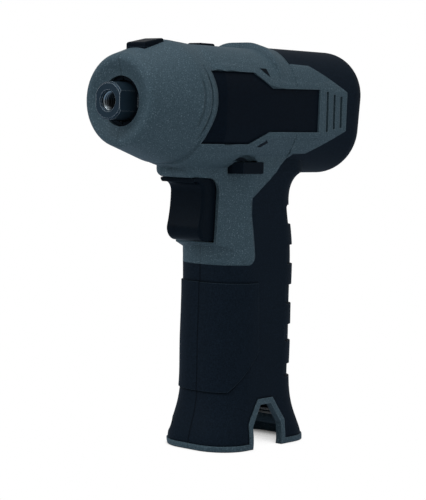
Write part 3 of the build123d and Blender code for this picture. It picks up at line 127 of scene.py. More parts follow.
def moulded(name, dark, light, speck, edge, grain_mm, relief_mm, rough, sheen, seam=None, crevice=None):
    """A moulded surface. Edge is the colour of a painted highlight along sharp edges, sheen the strength of
    reflection, and seam the share of the colour left in the seam. Crevice gives the reach of the painted
    shade in crevices in millimetres, and the openness that counts as closed and as open."""
    material, tree, shader, place = start_material(name)
    grain = node(tree, "TexNoise", inputs={"Vector": place, "Scale": 1 / (grain_mm * MM), "Detail": 3.0})
    tint = node(tree, "ValToRGB", inputs={"Fac": grain.outputs["Fac"]})
    stops = tint.color_ramp.elements
    stops[0].position, stops[0].color = GRAIN_STOPS[0], linear(dark)
    stops[1].position, stops[1].color = GRAIN_STOPS[1], linear(light)
    stops.new(GRAIN_STOPS[2]).color = linear(speck)
    soft_edge = node(tree, "Bevel", {"samples": 6}, {"Radius": PLASTIC_EDGE_MM * MM}).outputs["Normal"]
    # Painted highlight: a paler colour along sharp edges.
    colour = paint_edge_highlight(tree, soft_edge, tint.outputs["Color"], edge)
    if seam:
        across = node(tree, "SeparateXYZ", inputs={"Vector": place})
        away = node(tree, "Math", {"operation": "ABSOLUTE"}, {0: across.outputs["X"]})
        clear = node(tree, "MapRange", inputs={"Value": away.outputs[0], "From Min": SEAM_MM[0] * MM,
                                               "From Max": SEAM_MM[1] * MM})
        shaded = node(tree, "VectorMath", {"operation": "SCALE"}, {0: tint.outputs["Color"], "Scale": seam})
        colour = node(tree, "MixRGB", inputs={"Fac": clear.outputs["Result"],
                                              "Color1": shaded.outputs["Vector"],
                                              "Color2": colour}).outputs["Color"]
    # Painted shade: where an ambient occlusion node finds the surface closed in, the colour is darkened.
    if crevice:
        reach_mm, closed, open_air = crevice
        openness = node(tree, "AmbientOcclusion", {"samples": 4},
                        {"Distance": reach_mm * MM, "Normal": soft_edge})
        crevice_shade = node(tree, "MapRange", inputs={"Value": openness.outputs["AO"], "From Min": closed,
                                              "From Max": open_air, "To Min": CREVICE_SHADE_SHARE})
        colour = node(tree, "VectorMath", {"operation": "SCALE"},
                      {0: colour, "Scale": crevice_shade.outputs["Result"]}).outputs["Vector"]
    tree.links.new(colour, shader.inputs["Base Color"])
    hands = node(tree, "TexNoise", inputs={"Vector": place, "Scale": 1 / (HANDLING_MM * MM), "Detail": 2.0})
    gloss = node(tree, "MapRange", inputs={"Value": hands.outputs["Fac"], "To Min": rough[0],
                                           "To Max": rough[1]})
    tree.links.new(gloss.outputs["Result"], shader.inputs["Roughness"])
    relief = node(tree, "Bump", inputs={"Height": grain.outputs["Fac"], "Distance": relief_mm * MM,
                                        "Normal": soft_edge})
    tree.links.new(relief.outputs["Normal"], shader.inputs["Normal"])
    shader.inputs["IOR"].default_value = PLASTIC_IOR
    shader.inputs["Specular IOR Level"].default_value = sheen
    shader.inputs["Specular Tint"].default_value = linear(ROOM_TINT)
    return material


print("grain noise stops:", GRAIN_STOPS)

# %% [markdown]
# ## The plastics of this tool
#
# The outside has four: a hard nylon for the shell, a soft elastomer moulded over it where the hand lies, a
# smooth inlay in each side, and acetal for what slides, because acetal needs no grease. The inner pieces
# are plain nylon. They differ in colour, in grain and in how much of the room they reflect.

# %% Plastics
# Glass-filled nylon, spark-eroded tool: blue-grey, matt, with a pale speckle. Such a grain is near 0.15 mm,
# too fine to show here, so it is drawn at 0.5 mm. The two halves meet in a fine dark seam.
# The fourth colour of each plastic is its painted highlight along sharp edges.
housing_nylon = moulded("glass_filled_nylon_grained", "#304048", "#3B4D57", "#5C6E78", "#566872",
                        grain_mm=0.5, relief_mm=0.03, rough=(0.52, 0.64), sheen=0.18, seam=0.88,
                        crevice=(0.9, 0.3, 0.62))
# Thermoplastic elastomer, moulded over the nylon: nearly black, dull, a little blue.
grip_rubber = moulded("thermoplastic_elastomer_matt", "#0D151D", "#121B25", "#141F2A", "#2D3B46",
                      grain_mm=0.6, relief_mm=0.02, rough=(0.5, 0.64), sheen=0.035, seam=0.6,
                      crevice=(1.5, 0.6, 0.97))
# ABS inlay from a polished tool: black, even, with a satin reflection.
panel_abs = moulded("abs_inlay_satin", "#080E16", "#0A121B", "#0A121B", "#16212B",
                    grain_mm=0.9, relief_mm=0.005, rough=(0.36, 0.44), sheen=0.035)
# Acetal, for the pieces that slide: black, dense, a little glossier than the rubber.
key_acetal = moulded("acetal_moulded_satin", "#070D14", "#0A121A", "#0A121A", "#1B2731",
                     grain_mm=0.7, relief_mm=0.01, rough=(0.34, 0.44), sheen=0.045)
# Nylon of the inner pieces, straight from a plain tool: black, with a plain reflection.
inner_nylon = moulded("nylon_plain_black", "#101214", "#17191C", "#17191C", "#26292C",
                      grain_mm=0.7, relief_mm=0.02, rough=(0.45, 0.55), sheen=0.2)
# The same nylon without colour: grey by its glass fibre, so it shows in the dark of the battery socket.
rib_nylon = moulded("nylon_natural_grey", "#8E9294", "#A6AAAC", "#A6AAAC", "#C3C7C9",
                    grain_mm=0.7, relief_mm=0.02, rough=(0.45, 0.55), sheen=0.2)
plastics = (housing_nylon, grip_rubber, panel_abs, key_acetal, inner_nylon, rib_nylon)
print("plastics:", [m.name for m in plastics])

# %% [markdown]
# ## Turned, cast and plated metals
#
# Most of the metal in this tool is turned or ground, and carries fine rings round its axis. The rings are a
# wave texture over the distance from the spindle axis, pressed into the surface as a bump, and a noise
# varies the gloss. Castings have no rings but a soft pebbled skin, so the same recipe takes a ring spacing
# of nothing.

# %% Recipe for a metal surface
AXIS_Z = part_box("spindle")[0][2] / 2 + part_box("spindle")[1][2] / 2
METAL_EDGE_MM = 0.3  # radius of a broken edge
METAL_RELIEF_MM = 0.01  # depth of the rings or pebbles
WAVE_M = 0.314  # one ring of the wave texture at a scale of one
SPAN_SHADE_SHARE = 0.06  # painted shade: share of the colour left at the far end of its span


def metal(name, dark, light, rough, ring_mm=0.0, pebble_mm=0.6, edge=None, bare=1.0, painted_shade_span=None, skin=None):
    """A metal surface. Edge is the colour of a painted highlight along sharp edges, bare the share that
    reflects as metal, and skin the tint of its sheen. The painted shade span gives the two places along Y
    between which the colour darkens."""
    material, tree, shader, place = start_material(name)
    cloud = node(tree, "TexNoise", inputs={"Vector": place, "Scale": 1 / (pebble_mm * MM), "Detail": 4.0})
    tint = node(tree, "ValToRGB", inputs={"Fac": cloud.outputs["Fac"]})
    tint.color_ramp.elements[0].color = linear(dark)
    tint.color_ramp.elements[1].color = linear(light)
    colour = tint.outputs["Color"]
    soft_edge = node(tree, "Bevel", {"samples": 6}, {"Radius": METAL_EDGE_MM * MM}).outputs["Normal"]
    # Painted highlight: a paler colour along sharp edges.
    if edge:
        colour = paint_edge_highlight(tree, soft_edge, colour, edge)
    # Painted shade: the colour darkens along Y between the two places of the span.
    if painted_shade_span:
        inwards = node(tree, "SeparateXYZ", inputs={"Vector": place}).outputs["Y"]
        unshaded = node(tree, "MapRange", inputs={"Value": inwards, "From Min": painted_shade_span[0], "From Max": painted_shade_span[1],
                                             "To Min": 1.0, "To Max": SPAN_SHADE_SHARE})
        colour = node(tree, "VectorMath", {"operation": "SCALE"},
                      {0: colour, "Scale": unshaded.outputs["Result"]}).outputs["Vector"]
    tree.links.new(colour, shader.inputs["Base Color"])
    gloss = node(tree, "MapRange", inputs={"Value": cloud.outputs["Fac"], "To Min": rough[0],
                                           "To Max": rough[1]})
    tree.links.new(gloss.outputs["Result"], shader.inputs["Roughness"])
    height = cloud.outputs["Fac"]
    if ring_mm > 0:
        centred = node(tree, "Mapping", inputs={"Vector": place, "Location": (0, 0, -AXIS_Z)})
        rings = node(tree, "TexWave", {"wave_type": "RINGS", "rings_direction": "Y"},
                     {"Vector": centred.outputs["Vector"], "Scale": WAVE_M / (ring_mm * MM),
                      "Distortion": 0.4})
        height = rings.outputs["Fac"]
    relief = node(tree, "Bump", inputs={"Height": height, "Distance": METAL_RELIEF_MM * MM,
                                        "Normal": soft_edge})
    tree.links.new(relief.outputs["Normal"], shader.inputs["Normal"])
    shader.inputs["Metallic"].default_value = bare
    if skin:
        shader.inputs["Specular Tint"].default_value = linear(skin)
    return material


print("spindle axis at mm:", round(AXIS_Z / MM, 2))

# %% [markdown]
# ## The metals of this tool
#
# Each is named for its alloy and for the way its surface was made, which settles its colour and its gloss:
# ground bearing steel is bright, sintered gears are grey and porous, and the blackened spindle has a painted
# highlight along its edges. Most of them sit inside, and show when the housing is taken off.

# %% Metals
# Steel, turned and blackened: gunmetal, with fine rings on the end face. The oxide skin is bluish and
# scatters most of the light, and a pale colour along its edges is a painted highlight.
spindle_steel = metal("steel_turned_blackened", "#16232D", "#1F2E39", rough=(0.32, 0.44), ring_mm=0.35,
                      edge="#C4D2DB", bare=0.3, skin="#7C96AE")
# Steel screws with black oxide: dark and oily.
screw_steel = metal("steel_black_oxide", "#26282A", "#3A3C3E", rough=(0.35, 0.5))
# Bearing steel, ground: bright, with the grinder's rings.
ground_steel = metal("bearing_steel_ground", "#B4B6B8", "#CFD1D2", rough=(0.18, 0.28), ring_mm=0.25)
# Sintered steel gears: grey and slightly porous.
sintered_steel = metal("steel_sintered", "#7E8082", "#9C9E9F", rough=(0.35, 0.5), pebble_mm=0.3)
# Aluminium, pressure die cast: pale and dull.
cast_aluminium = metal("aluminium_die_cast", "#A9ABAD", "#C4C6C8", rough=(0.38, 0.52))
# Steel can, deep drawn and zinc plated: pale, with a faint yellow.
plated_steel = metal("steel_zinc_plated", "#A6A69E", "#C6C6BC", rough=(0.25, 0.38), pebble_mm=2.5)
# Copper alloys: the commutator and the terminal blades are rolled, the bushing is sintered.
rolled_brass = metal("brass_rolled", "#A87A45", "#C99A5C", rough=(0.22, 0.34), pebble_mm=1.5)
sintered_bronze = metal("bronze_sintered", "#8A6B3C", "#A5834D", rough=(0.4, 0.55), pebble_mm=0.3)
# Lamination stack of the armature: thin varnished sheets, 0.5 mm each, drawn as rings of that width.
core_steel = metal("lamination_steel_varnished", "#4C4A48", "#6B6865", rough=(0.4, 0.5), ring_mm=0.5)
# Ferrite, sintered: nearly black and dull. The carbon brushes look alike, and share it.
ferrite = metal("ferrite_sintered", "#1C1C1D", "#2A2A2B", rough=(0.5, 0.65), pebble_mm=0.4, bare=0.0)
metals = (spindle_steel, screw_steel, ground_steel, sintered_steel, cast_aluminium, plated_steel,
          rolled_brass, sintered_bronze, core_steel, ferrite)
print("metals:", [m.name for m in metals])

# %% [markdown]
# ## Circuit board
#
# A circuit board is glass laminate under a green lacquer, with copper tracks that show as paler lines. A
# brick texture with narrow mortar gives the look of tracks and pads at their real pitch.

# %% Board material
TRACK_MM = 2.5
BRICK_W = 0.5  # width of one brick of the texture at a scale of one
board_laminate, tree, shader, place = start_material("glass_laminate_lacquered")
upright = node(tree, "Mapping", inputs={"Vector": place, "Rotation": (math.radians(90), 0, 0)})
tracks = node(tree, "TexBrick", inputs={"Vector": upright.outputs["Vector"],
                                        "Scale": BRICK_W / (TRACK_MM * MM),
                                        "Color1": linear("#0E3B22"), "Color2": linear("#124729"),
                                        "Mortar": linear("#2F7A4C"), "Mortar Size": 0.03})
tree.links.new(tracks.outputs["Color"], shader.inputs["Base Color"])
shader.inputs["Roughness"].default_value = 0.3
print("board tracks at", TRACK_MM, "mm")

# %% [markdown]
# ## Giving each solid its finish
#
# The solids keep their shapes. Only the material in each slot is changed, by the list below, so that a
# solid which is missing from the list is noticed at once.

# %% Finishes of the solids
finishes = {
    housing_nylon: ["left_housing", "right_housing"],
    grip_rubber: ["left_grip", "right_grip"],
    panel_abs: ["left_side_panel", "right_side_panel"],
    key_acetal: ["trigger", "selector_bar", "lock_button", "speed_button", "dust_ring"],
    inner_nylon: ["end_bell", "cooling_fan", "switch_body", "speed_switch", "terminal_block"],
    spindle_steel: ["spindle"],
    screw_steel: [f"housing_screw_{n}" for n in range(1, 8)],
    ground_steel: ["front_bearing_outer", "front_bearing_inner", "planet_pin_1", "planet_pin_2",
                   "planet_pin_3", "lock_pin", "motor_shaft"],
    sintered_steel: ["ring_gear", "planet_carrier", "planet_gear_1", "planet_gear_2", "planet_gear_3",
                     "motor_pinion"],
    cast_aluminium: ["gear_case", "motor_plate", "heat_sink"],
    plated_steel: ["motor_can"],
    rolled_brass: ["commutator", "terminal_1", "terminal_2", "terminal_3"],
    sintered_bronze: ["rear_bushing"],
    core_steel: ["armature"],
    ferrite: ["magnet_1", "magnet_2", "brush_1", "brush_2"],
    board_laminate: ["control_board"],
}
dressed = [name for names in finishes.values() for name in names]
assert sorted(dressed) == sorted(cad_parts), set(dressed) ^ set(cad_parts)
for material, names in finishes.items():
    for name in names:
        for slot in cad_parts[name].material_slots:
            slot.material = material
print("finished solids:", len(dressed))

# %% [markdown]
# ## Pieces added to the frame
#
# The next steps add small pieces. Each is a closed mesh that rides on a body of the frame and carries a
# material. A mesh is laid over rows of points, as a skin over the ribs of a boat, which serves a thread, a
# ring, a curved cutter and a plain block alike.

# %% Helpers for added pieces
def solid_mesh(name, rows, closed_ring=False):
    """A closed mesh over rows of points: neighbouring rows are joined, and the first and last are capped."""
    shape = bmesh.new()
    lines = [[shape.verts.new(point) for point in row] for row in rows]
    for a, b in zip(lines, lines[1:] + lines[:1] if closed_ring else lines[1:]):
        for i in range(len(a)):
            shape.faces.new((a[i - 1], a[i], b[i], b[i - 1]))
    if not closed_ring:
        shape.faces.new(lines[0])
        shape.faces.new(lines[-1])
    bmesh.ops.recalc_face_normals(shape, faces=shape.faces)
    mesh = bpy.data.meshes.new(name)
    shape.to_mesh(mesh)
    shape.free()
    return mesh


def piece(name, mesh, material, body):
    """Puts a mesh in the scene as a piece of the tool."""
    mesh.materials.append(material)
    made = bpy.data.objects.new(name, mesh)
    bpy.context.collection.objects.link(made)
    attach(made, body)
    return made


def block(name, low, high, material, body):
    """A rectangular piece between its lowest and its highest corner."""
    rows = [[(x, low[1], low[2]), (x, high[1], low[2]), (x, high[1], high[2]), (x, low[1], high[2])]
            for x in (low[0], high[0])]
    return piece(name, solid_mesh(name, rows), material, body)


# %% [markdown]
# ## Thread in the spindle
#
# Backing pads screw into the end of the spindle, in a 5/16-24 thread. A thread is one ridge that winds
# along a helix, so the ridge's four-cornered section is carried round the axis in small steps, and each
# step moves inwards by its share of the pitch. The foot of the ridge is sunk a little into the wall of the
# hole. The first turns keep their bright colour, and painted shade darkens the ones further in.

# %% Thread ridge
TIP_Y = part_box("spindle")[0][1]
THREAD_MAJOR = 3.97 * MM
THREAD_PITCH = 25.4 / 24 * MM
THREAD_DEPTH = 0.54  # as a share of the pitch
THREAD_MINOR = THREAD_MAJOR - THREAD_DEPTH * THREAD_PITCH
THREAD_FOOT = THREAD_MAJOR + 0.05 * MM
THREAD_START = TIP_Y + 0.9 * MM
THREAD_TURNS = 13
TURN_STEPS = 40
FOOT_HALF, CREST_HALF = 0.46, 0.08  # half widths of the ridge, as shares of the pitch
ridge_section = ((THREAD_FOOT, -FOOT_HALF), (THREAD_MINOR, -CREST_HALF), (THREAD_MINOR, CREST_HALF),
                 (THREAD_FOOT, FOOT_HALF))
ridge_rows = []
for step in range(THREAD_TURNS * TURN_STEPS + 1):
    turn = step / TURN_STEPS
    angle = -2 * math.pi * turn
    ridge_rows.append([(radius * math.cos(angle), THREAD_START + (turn + along + FOOT_HALF) * THREAD_PITCH,
                        AXIS_Z + radius * math.sin(angle)) for radius, along in ridge_section])
# Steel, cut by a tap: bright and smooth. Painted shade darkens the turns further in the bore.
thread_steel = metal("steel_tapped_bright", "#727D84", "#A3ADB3", rough=(0.12, 0.2), pebble_mm=0.4,
                     painted_shade_span=(TIP_Y + 1.5 * MM, TIP_Y + 4.5 * MM))
ridge_mesh = solid_mesh("spindle_thread", ridge_rows)
thread = piece("spindle_thread", ridge_mesh, thread_steel, "spindle")
print("thread faces:", len(thread.data.polygons), "pitch mm:", round(THREAD_PITCH / MM, 3))

# %% [markdown]
# ## Places on the head
#
# Places on the head are measured in the side view, back from the nose face and up from the spindle axis. A
# ray cast inwards from the side finds how far out the wall of the housing lies there, and which way it
# faces.

# %% Helpers for places
SIDES = ((1, "left"), (-1, "right"))
NOSE_FACE_Y = TIP_Y + 7.7 * MM
FAR_OUT = 100 * MM  # where the rays start


def on_head(back_mm, up_mm):
    """Y and Z of a place in the side view of the head."""
    return NOSE_FACE_Y + back_mm * MM, AXIS_Z + up_mm * MM


def wall_of(name):
    """A solid's faces, ready for casting rays."""
    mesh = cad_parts[name].data
    return BVHTree.FromPolygons([v.co for v in mesh.vertices], [f.vertices for f in mesh.polygons])


walls = {side: wall_of(word + "_housing") for side, word in SIDES}


def on_wall(side, y, z):
    """The spot on the side wall of a housing half, and the wall's normal there."""
    return walls[side].ray_cast((side * FAR_OUT, y, z), (-side, 0, 0))[:2]


print("nose face at mm:", round(NOSE_FACE_Y / MM, 2))

# %% [markdown]
# ## Grooves in front of the side panels
#
# Two shallow grooves run round each side of the head, in front of the panel and on the centre of its curved
# front edge. In the moulding tool each is a raised line. Here a thin curved cutter stands in for that line:
# its floor follows the wall, and rises out of it at both ends, so that the groove runs out.

# %% Cutters of the grooves
ARC_CENTRE = (-12.3, 3.8)  # back from the nose face and up from the axis, in millimetres
GROOVES = ((35.6, 0.6, -27, 16), (40.6, 0.8, -30, 19))  # radius and depth in millimetres, ends in degrees
GROOVE_W_MM = 1.2
GROOVE_STEPS = 40
RUNOUT_RATE = 5  # full depth after a fifth of the length
RUNOUT_LIFT_MM = 0.15  # height of the cutter's floor over the wall at both ends
CUTTER_TOP_MM = 1.0


def groove_rows(side, radius_mm, depth_mm, low_deg, high_deg):
    """Rows of the cutter's section: radius in the side view, depth in the middle, and the arc's two ends."""
    rows = []
    for step in range(GROOVE_STEPS + 1):
        share = step / GROOVE_STEPS
        angle = math.radians(low_deg + share * (high_deg - low_deg))
        runout = min(1.0, RUNOUT_RATE * share, RUNOUT_RATE * (1 - share))
        floor_mm = RUNOUT_LIFT_MM * (1 - runout) - depth_mm * runout
        row = []
        for radius, levels in ((radius_mm, (floor_mm, CUTTER_TOP_MM)),
                               (radius_mm + GROOVE_W_MM, (CUTTER_TOP_MM, floor_mm))):
            y, z = on_head(ARC_CENTRE[0] + radius * math.cos(angle), ARC_CENTRE[1] + radius * math.sin(angle))
            spot = on_wall(side, y, z)[0]
            row += [spot + Vector((side * level * MM, 0, 0)) for level in levels]
        rows.append(row)
    return rows


print("groove radii mm:", [groove[0] for groove in GROOVES])

# %% [markdown]
# ## Round of the chin
#
# The lower edge of the chin over the trigger is rounded where it turns the corner, and the round fades
# towards the handle. Its cutter is what a router bit would take away there: a square bar with a hollow
# quarter, led along the edge from the side wall to the front.

# %% Cutter of the chin
trigger_low, trigger_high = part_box("trigger")
CHIN_HALF_W = 11.6 * MM
CHIN_CORNER = 5.0 * MM
CHIN_FRONT = trigger_low[1] - 4.1 * MM
CHIN_BOTTOM = trigger_high[2] + 0.35 * MM
CHIN_ROUND = 3.4 * MM
CHIN_FADE = 6.5 * MM
LEAST_ROUND = 0.06  # share of the round left at the faded end
BAR = 1.0 * MM  # how far the bar stands out of the chin
FADE_STEPS, CORNER_STEPS, ROUND_STEPS = 8, 12, 8


def chin_path():
    """Places along the edge of the left half, which the right one mirrors: X, Y, turn round the corner, and
    radius of the round."""
    path = []
    for step in range(FADE_STEPS + 1):
        share = step / FADE_STEPS
        smooth = share * share * (3 - 2 * share)
        path.append((CHIN_HALF_W, CHIN_FRONT + CHIN_CORNER + CHIN_FADE * (1 - share), 0.0,
                     CHIN_ROUND * (LEAST_ROUND + (1 - LEAST_ROUND) * smooth)))
    for step in range(1, CORNER_STEPS + 1):
        turn = math.radians(90 * step / CORNER_STEPS)
        path.append((CHIN_HALF_W - CHIN_CORNER * (1 - math.cos(turn)),
                     CHIN_FRONT + CHIN_CORNER * (1 - math.sin(turn)), turn, CHIN_ROUND))
    return path


def chin_rows(side):
    """Rows of the cutter's section along the chin's lower edge."""
    rows = []
    for x, y, turn, radius in chin_path():
        section = []
        for step in range(ROUND_STEPS + 1):
            angle = math.radians(-90 + 90 * step / ROUND_STEPS)
            section.append((radius * (math.cos(angle) - 1), radius * (1 + math.sin(angle))))
        section += [(BAR, radius), (BAR, -BAR), (-radius, -BAR)]
        rows.append([(side * (x + out * math.cos(turn)), y - out * math.sin(turn), CHIN_BOTTOM + rise)
                     for out, rise in section])
    return rows


print("chin round mm:", round(CHIN_ROUND / MM, 2))

# %% [markdown]
# ## Cutting the halves
#
# A boolean takes the cutters from a copy of each housing half, as a mill would from the moulding, and the
# copy replaces the half. The copy's points are merged first, so that the boolean meets one closed skin, and
# its normals are weighted by face size afterwards, so that large faces stay even beside the cuts.

# %% Halves with grooves and rounds
SHARP = math.radians(20)  # edges that turn more than this stay sharp
SAME_POINT_MM = 0.001

for side, word in SIDES:
    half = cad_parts[word + "_housing"]
    shape = bmesh.new()
    shape.from_mesh(half.data)
    bmesh.ops.remove_doubles(shape, verts=shape.verts, dist=SAME_POINT_MM * MM)
    mesh = bpy.data.meshes.new(word + "_housing_grooved")
    shape.to_mesh(mesh)
    shape.free()
    mesh.set_sharp_from_angle(angle=SHARP)
    grooved = piece(word + "_housing_grooved", mesh, housing_nylon, "housing")
    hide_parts(word + "_housing")
    cutters = []
    for rows in [groove_rows(side, *groove) for groove in GROOVES] + [chin_rows(side)]:
        cutters.append(bpy.data.objects.new("cutter", solid_mesh("cutter", rows)))
        bpy.context.collection.objects.link(cutters[-1])
        cut = grooved.modifiers.new("cut", "BOOLEAN")
        cut.object, cut.operation, cut.solver = cutters[-1], "DIFFERENCE", "EXACT"
    depsgraph = bpy.context.evaluated_depsgraph_get()
    mesh = bpy.data.meshes.new_from_object(grooved.evaluated_get(depsgraph))
    grooved.modifiers.clear()
    mesh.set_sharp_from_angle(angle=SHARP)
    grooved.data = mesh
    even = grooved.modifiers.new("even_normals", "WEIGHTED_NORMAL")
    even.keep_sharp = True
    for cutter in cutters:
        bpy.data.objects.remove(cutter)
    print(word, "half faces:", len(half.data.polygons), "after the cuts:", len(mesh.polygons))

# %% [markdown]
# ## Painted shade in small scoops
#
# Beside the raised border of each panel the tool has two small wedge-shaped scoops, and a scoop lies over
# the end of the selector bar. Thin black inlays laid on the wall there are painted shade. Each is an
# outline in the side view. Its corners are dropped on to the wall of the housing by casting a ray inwards,
# and the outline is given a little depth, so that it lies on the wall as an inlay does.

# %% Inlays on the sides
# Outlines of the painted shade in the scoops, back from the nose face and up from the axis, in mm.
SCOOP_SHADE_TOP = ((64.4, 16.1), (68.8, 16.1), (69.6, 12.4), (66.6, 14.2))
SCOOP_SHADE_BOTTOM = ((62.4, -18.2), (64.8, -18.2), (69.0, -16.2), (67.0, -15.0))
SELECTOR_SHADE_Y_MM, SELECTOR_SHADE_Z_MM, SELECTOR_SHADE_R_MM = -11.0, 121.0, 9.0
SELECTOR_SHADE_DEGREES = range(126, 53, -6)
INLAY_SINK_MM = 0.4  # depth of an inlay under the wall
SCOOP_SHADE_LIFT_MM, SELECTOR_SHADE_LIFT_MM = 0.12, 0.06


def side_inlay(name, outline, side, lift_mm):
    """A thin piece on a side wall, from under the wall to its lift over it."""
    spots = [on_wall(side, y, z) for y, z in outline]
    rows = [[spot + normal * level * MM for spot, normal in spots] for level in (-INLAY_SINK_MM, lift_mm)]
    return piece(name, solid_mesh(name, rows), key_acetal, "housing")


arc = [math.radians(degrees) for degrees in SELECTOR_SHADE_DEGREES]
selector_shade_outline = [((SELECTOR_SHADE_Y_MM + SELECTOR_SHADE_R_MM * math.cos(a)) * MM, (SELECTOR_SHADE_Z_MM + SELECTOR_SHADE_R_MM * math.sin(a)) * MM)
          for a in arc]
# Painted shade: black inlays in the scoops beside each panel and over the selector bar.
for side, word in SIDES:
    side_inlay(word + "_scoop_shade_top", [on_head(*p) for p in SCOOP_SHADE_TOP], side, SCOOP_SHADE_LIFT_MM)
    side_inlay(word + "_scoop_shade_bottom", [on_head(*p) for p in SCOOP_SHADE_BOTTOM], side, SCOOP_SHADE_LIFT_MM)
    side_inlay(word + "_selector_shade_inlay", selector_shade_outline, side, SELECTOR_SHADE_LIFT_MM)

# %% [markdown]
# ## Skirt of the lock button, and seal of the spindle
#
# The lock button stands on the slope of the nose. Its solid ends level at the bottom, so a short skirt
# closes the front of it down to the slope. It rides on the button and sinks into the same window when the
# button is pressed. A thin rubber lip closes the gap between the dust ring and the turning spindle, and
# keeps polish out of the bearing.

# %% Skirt and seal
SKIRT_DEPTH_MM, SKIRT_BACK_MM = 2.1, 2.9
low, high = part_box("lock_button")
block("lock_button_skirt", (low[0], low[1], low[2] - SKIRT_DEPTH_MM * MM),
      (high[0], low[1] + SKIRT_BACK_MM * MM, low[2]), key_acetal, "spindle_lock")

SEAL_INNER_MM, SEAL_OUTER_MM = 8.15, 8.85
SEAL_FRONT = NOSE_FACE_Y + 3.2 * MM
SEAL_BACK = NOSE_FACE_Y + 3.45 * MM
SEAL_STEPS = 64
seal_rows = []
for step in range(SEAL_STEPS):
    angle = 2 * math.pi * step / SEAL_STEPS
    seal_rows.append([(r * MM * math.cos(angle), y, AXIS_Z + r * MM * math.sin(angle))
                      for r, y in ((SEAL_INNER_MM, SEAL_FRONT), (SEAL_OUTER_MM, SEAL_FRONT),
                                   (SEAL_OUTER_MM, SEAL_BACK), (SEAL_INNER_MM, SEAL_BACK))])
seal_mesh = solid_mesh("spindle_seal", seal_rows, closed_ring=True)
piece("spindle_seal", seal_mesh, grip_rubber, "housing")
print("skirt depth mm:", SKIRT_DEPTH_MM, "seal radii mm:", SEAL_INNER_MM, SEAL_OUTER_MM)

# %% [markdown]
# ## Strips and ribs
#
# A thin wiper strip on top of the trigger closes the gap under the chin, and goes back with the trigger. A
# guide rib behind the selector bar closes the slot that the bar slides in. Three ribs on the back wall of
# the battery socket show through the notch of the foot. Ribs there would take up the play of a battery.

# %% Wiper, guide and socket ribs
WIPER_HALF_W_MM, WIPER_FRONT_MM, WIPER_BACK_MM = 9.8, 0.3, 9.0  # ends measured from the trigger's front
WIPER_SINK_MM, WIPER_LIFT_MM = 0.1, 0.27  # into the trigger's top, and over it
block("trigger_wiper",
      (-WIPER_HALF_W_MM * MM, trigger_low[1] + WIPER_FRONT_MM * MM, trigger_high[2] - WIPER_SINK_MM * MM),
      (WIPER_HALF_W_MM * MM, trigger_low[1] + WIPER_BACK_MM * MM, trigger_high[2] + WIPER_LIFT_MM * MM),
      key_acetal, "trigger")

GUIDE_HALF_W_MM, GUIDE_FRONT_MM, GUIDE_BACK_MM = 8.0, 0.12, 0.7  # ends measured from the bar's back
low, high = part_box("selector_bar")
block("selector_guide", (-GUIDE_HALF_W_MM * MM, high[1] + GUIDE_FRONT_MM * MM, low[2]),
      (GUIDE_HALF_W_MM * MM, high[1] + GUIDE_BACK_MM * MM, high[2]), inner_nylon, "housing")

RIB_HALF_W_MM, RIB_FRONT_MM, RIB_BACK_MM, RIB_H_MM = 9.0, 33.3, 36.0, 0.9
RIB_FEET_MM = (8.4, 10.0, 11.6)
for n, foot_mm in enumerate(RIB_FEET_MM, start=1):
    block(f"socket_rib_{n}", (-RIB_HALF_W_MM * MM, RIB_FRONT_MM * MM, foot_mm * MM),
          (RIB_HALF_W_MM * MM, RIB_BACK_MM * MM, (foot_mm + RIB_H_MM) * MM),
          rib_nylon, "housing")
print("wiper width mm:", 2 * WIPER_HALF_W_MM, "socket ribs:", len(RIB_FEET_MM))

# %% [markdown]
# ## Camera
#
# The photograph was taken from the tool's front left, a little above the middle, with a long lens. The
# place and the turn of the camera were found by fitting the spindle's face, the nose and the foot to the
# picture. A long lens keeps the upright lines nearly parallel.

# %% Camera
IMAGE_H_PX = 500
FOCAL_PX = 1705.3
SENSOR_MM = 36.0
eye = Vector((493.5, -584.6, 144.4)) * MM
yaw, pitch, roll = (math.radians(a) for a in (40.5, 4.24, 1.46))
forward = Vector((-math.sin(yaw) * math.cos(pitch), math.cos(yaw) * math.cos(pitch), -math.sin(pitch)))
right = Vector((math.cos(yaw), math.sin(yaw), 0))
up = right.cross(forward)
tilt_right = math.cos(roll) * right + math.sin(roll) * up
tilt_up = math.cos(roll) * up - math.sin(roll) * right
camera_data = bpy.data.cameras.new("camera")
camera_data.sensor_fit = "VERTICAL"
camera_data.sensor_height = SENSOR_MM
camera_data.lens = FOCAL_PX / IMAGE_H_PX * SENSOR_MM
camera = bpy.data.objects.new("camera", camera_data)
bpy.context.collection.objects.link(camera)
camera.matrix_world = Matrix((tilt_right, tilt_up, -forward)).transposed().to_4x4()
camera.location = eye
bpy.context.scene.camera = camera
print("lens mm:", round(camera_data.lens, 1))

# %% [markdown]
# ## Floor
#
# The tool stands on a white sweep of paper. The floor is white to the camera and a cool pale grey in
# reflections, and it darkens where the tool keeps the light off it: an ambient occlusion node measures how
# much of the sky each spot of the floor sees, which gives the soft contact shadow. As a source of bounced
# light it is plain pale paper.

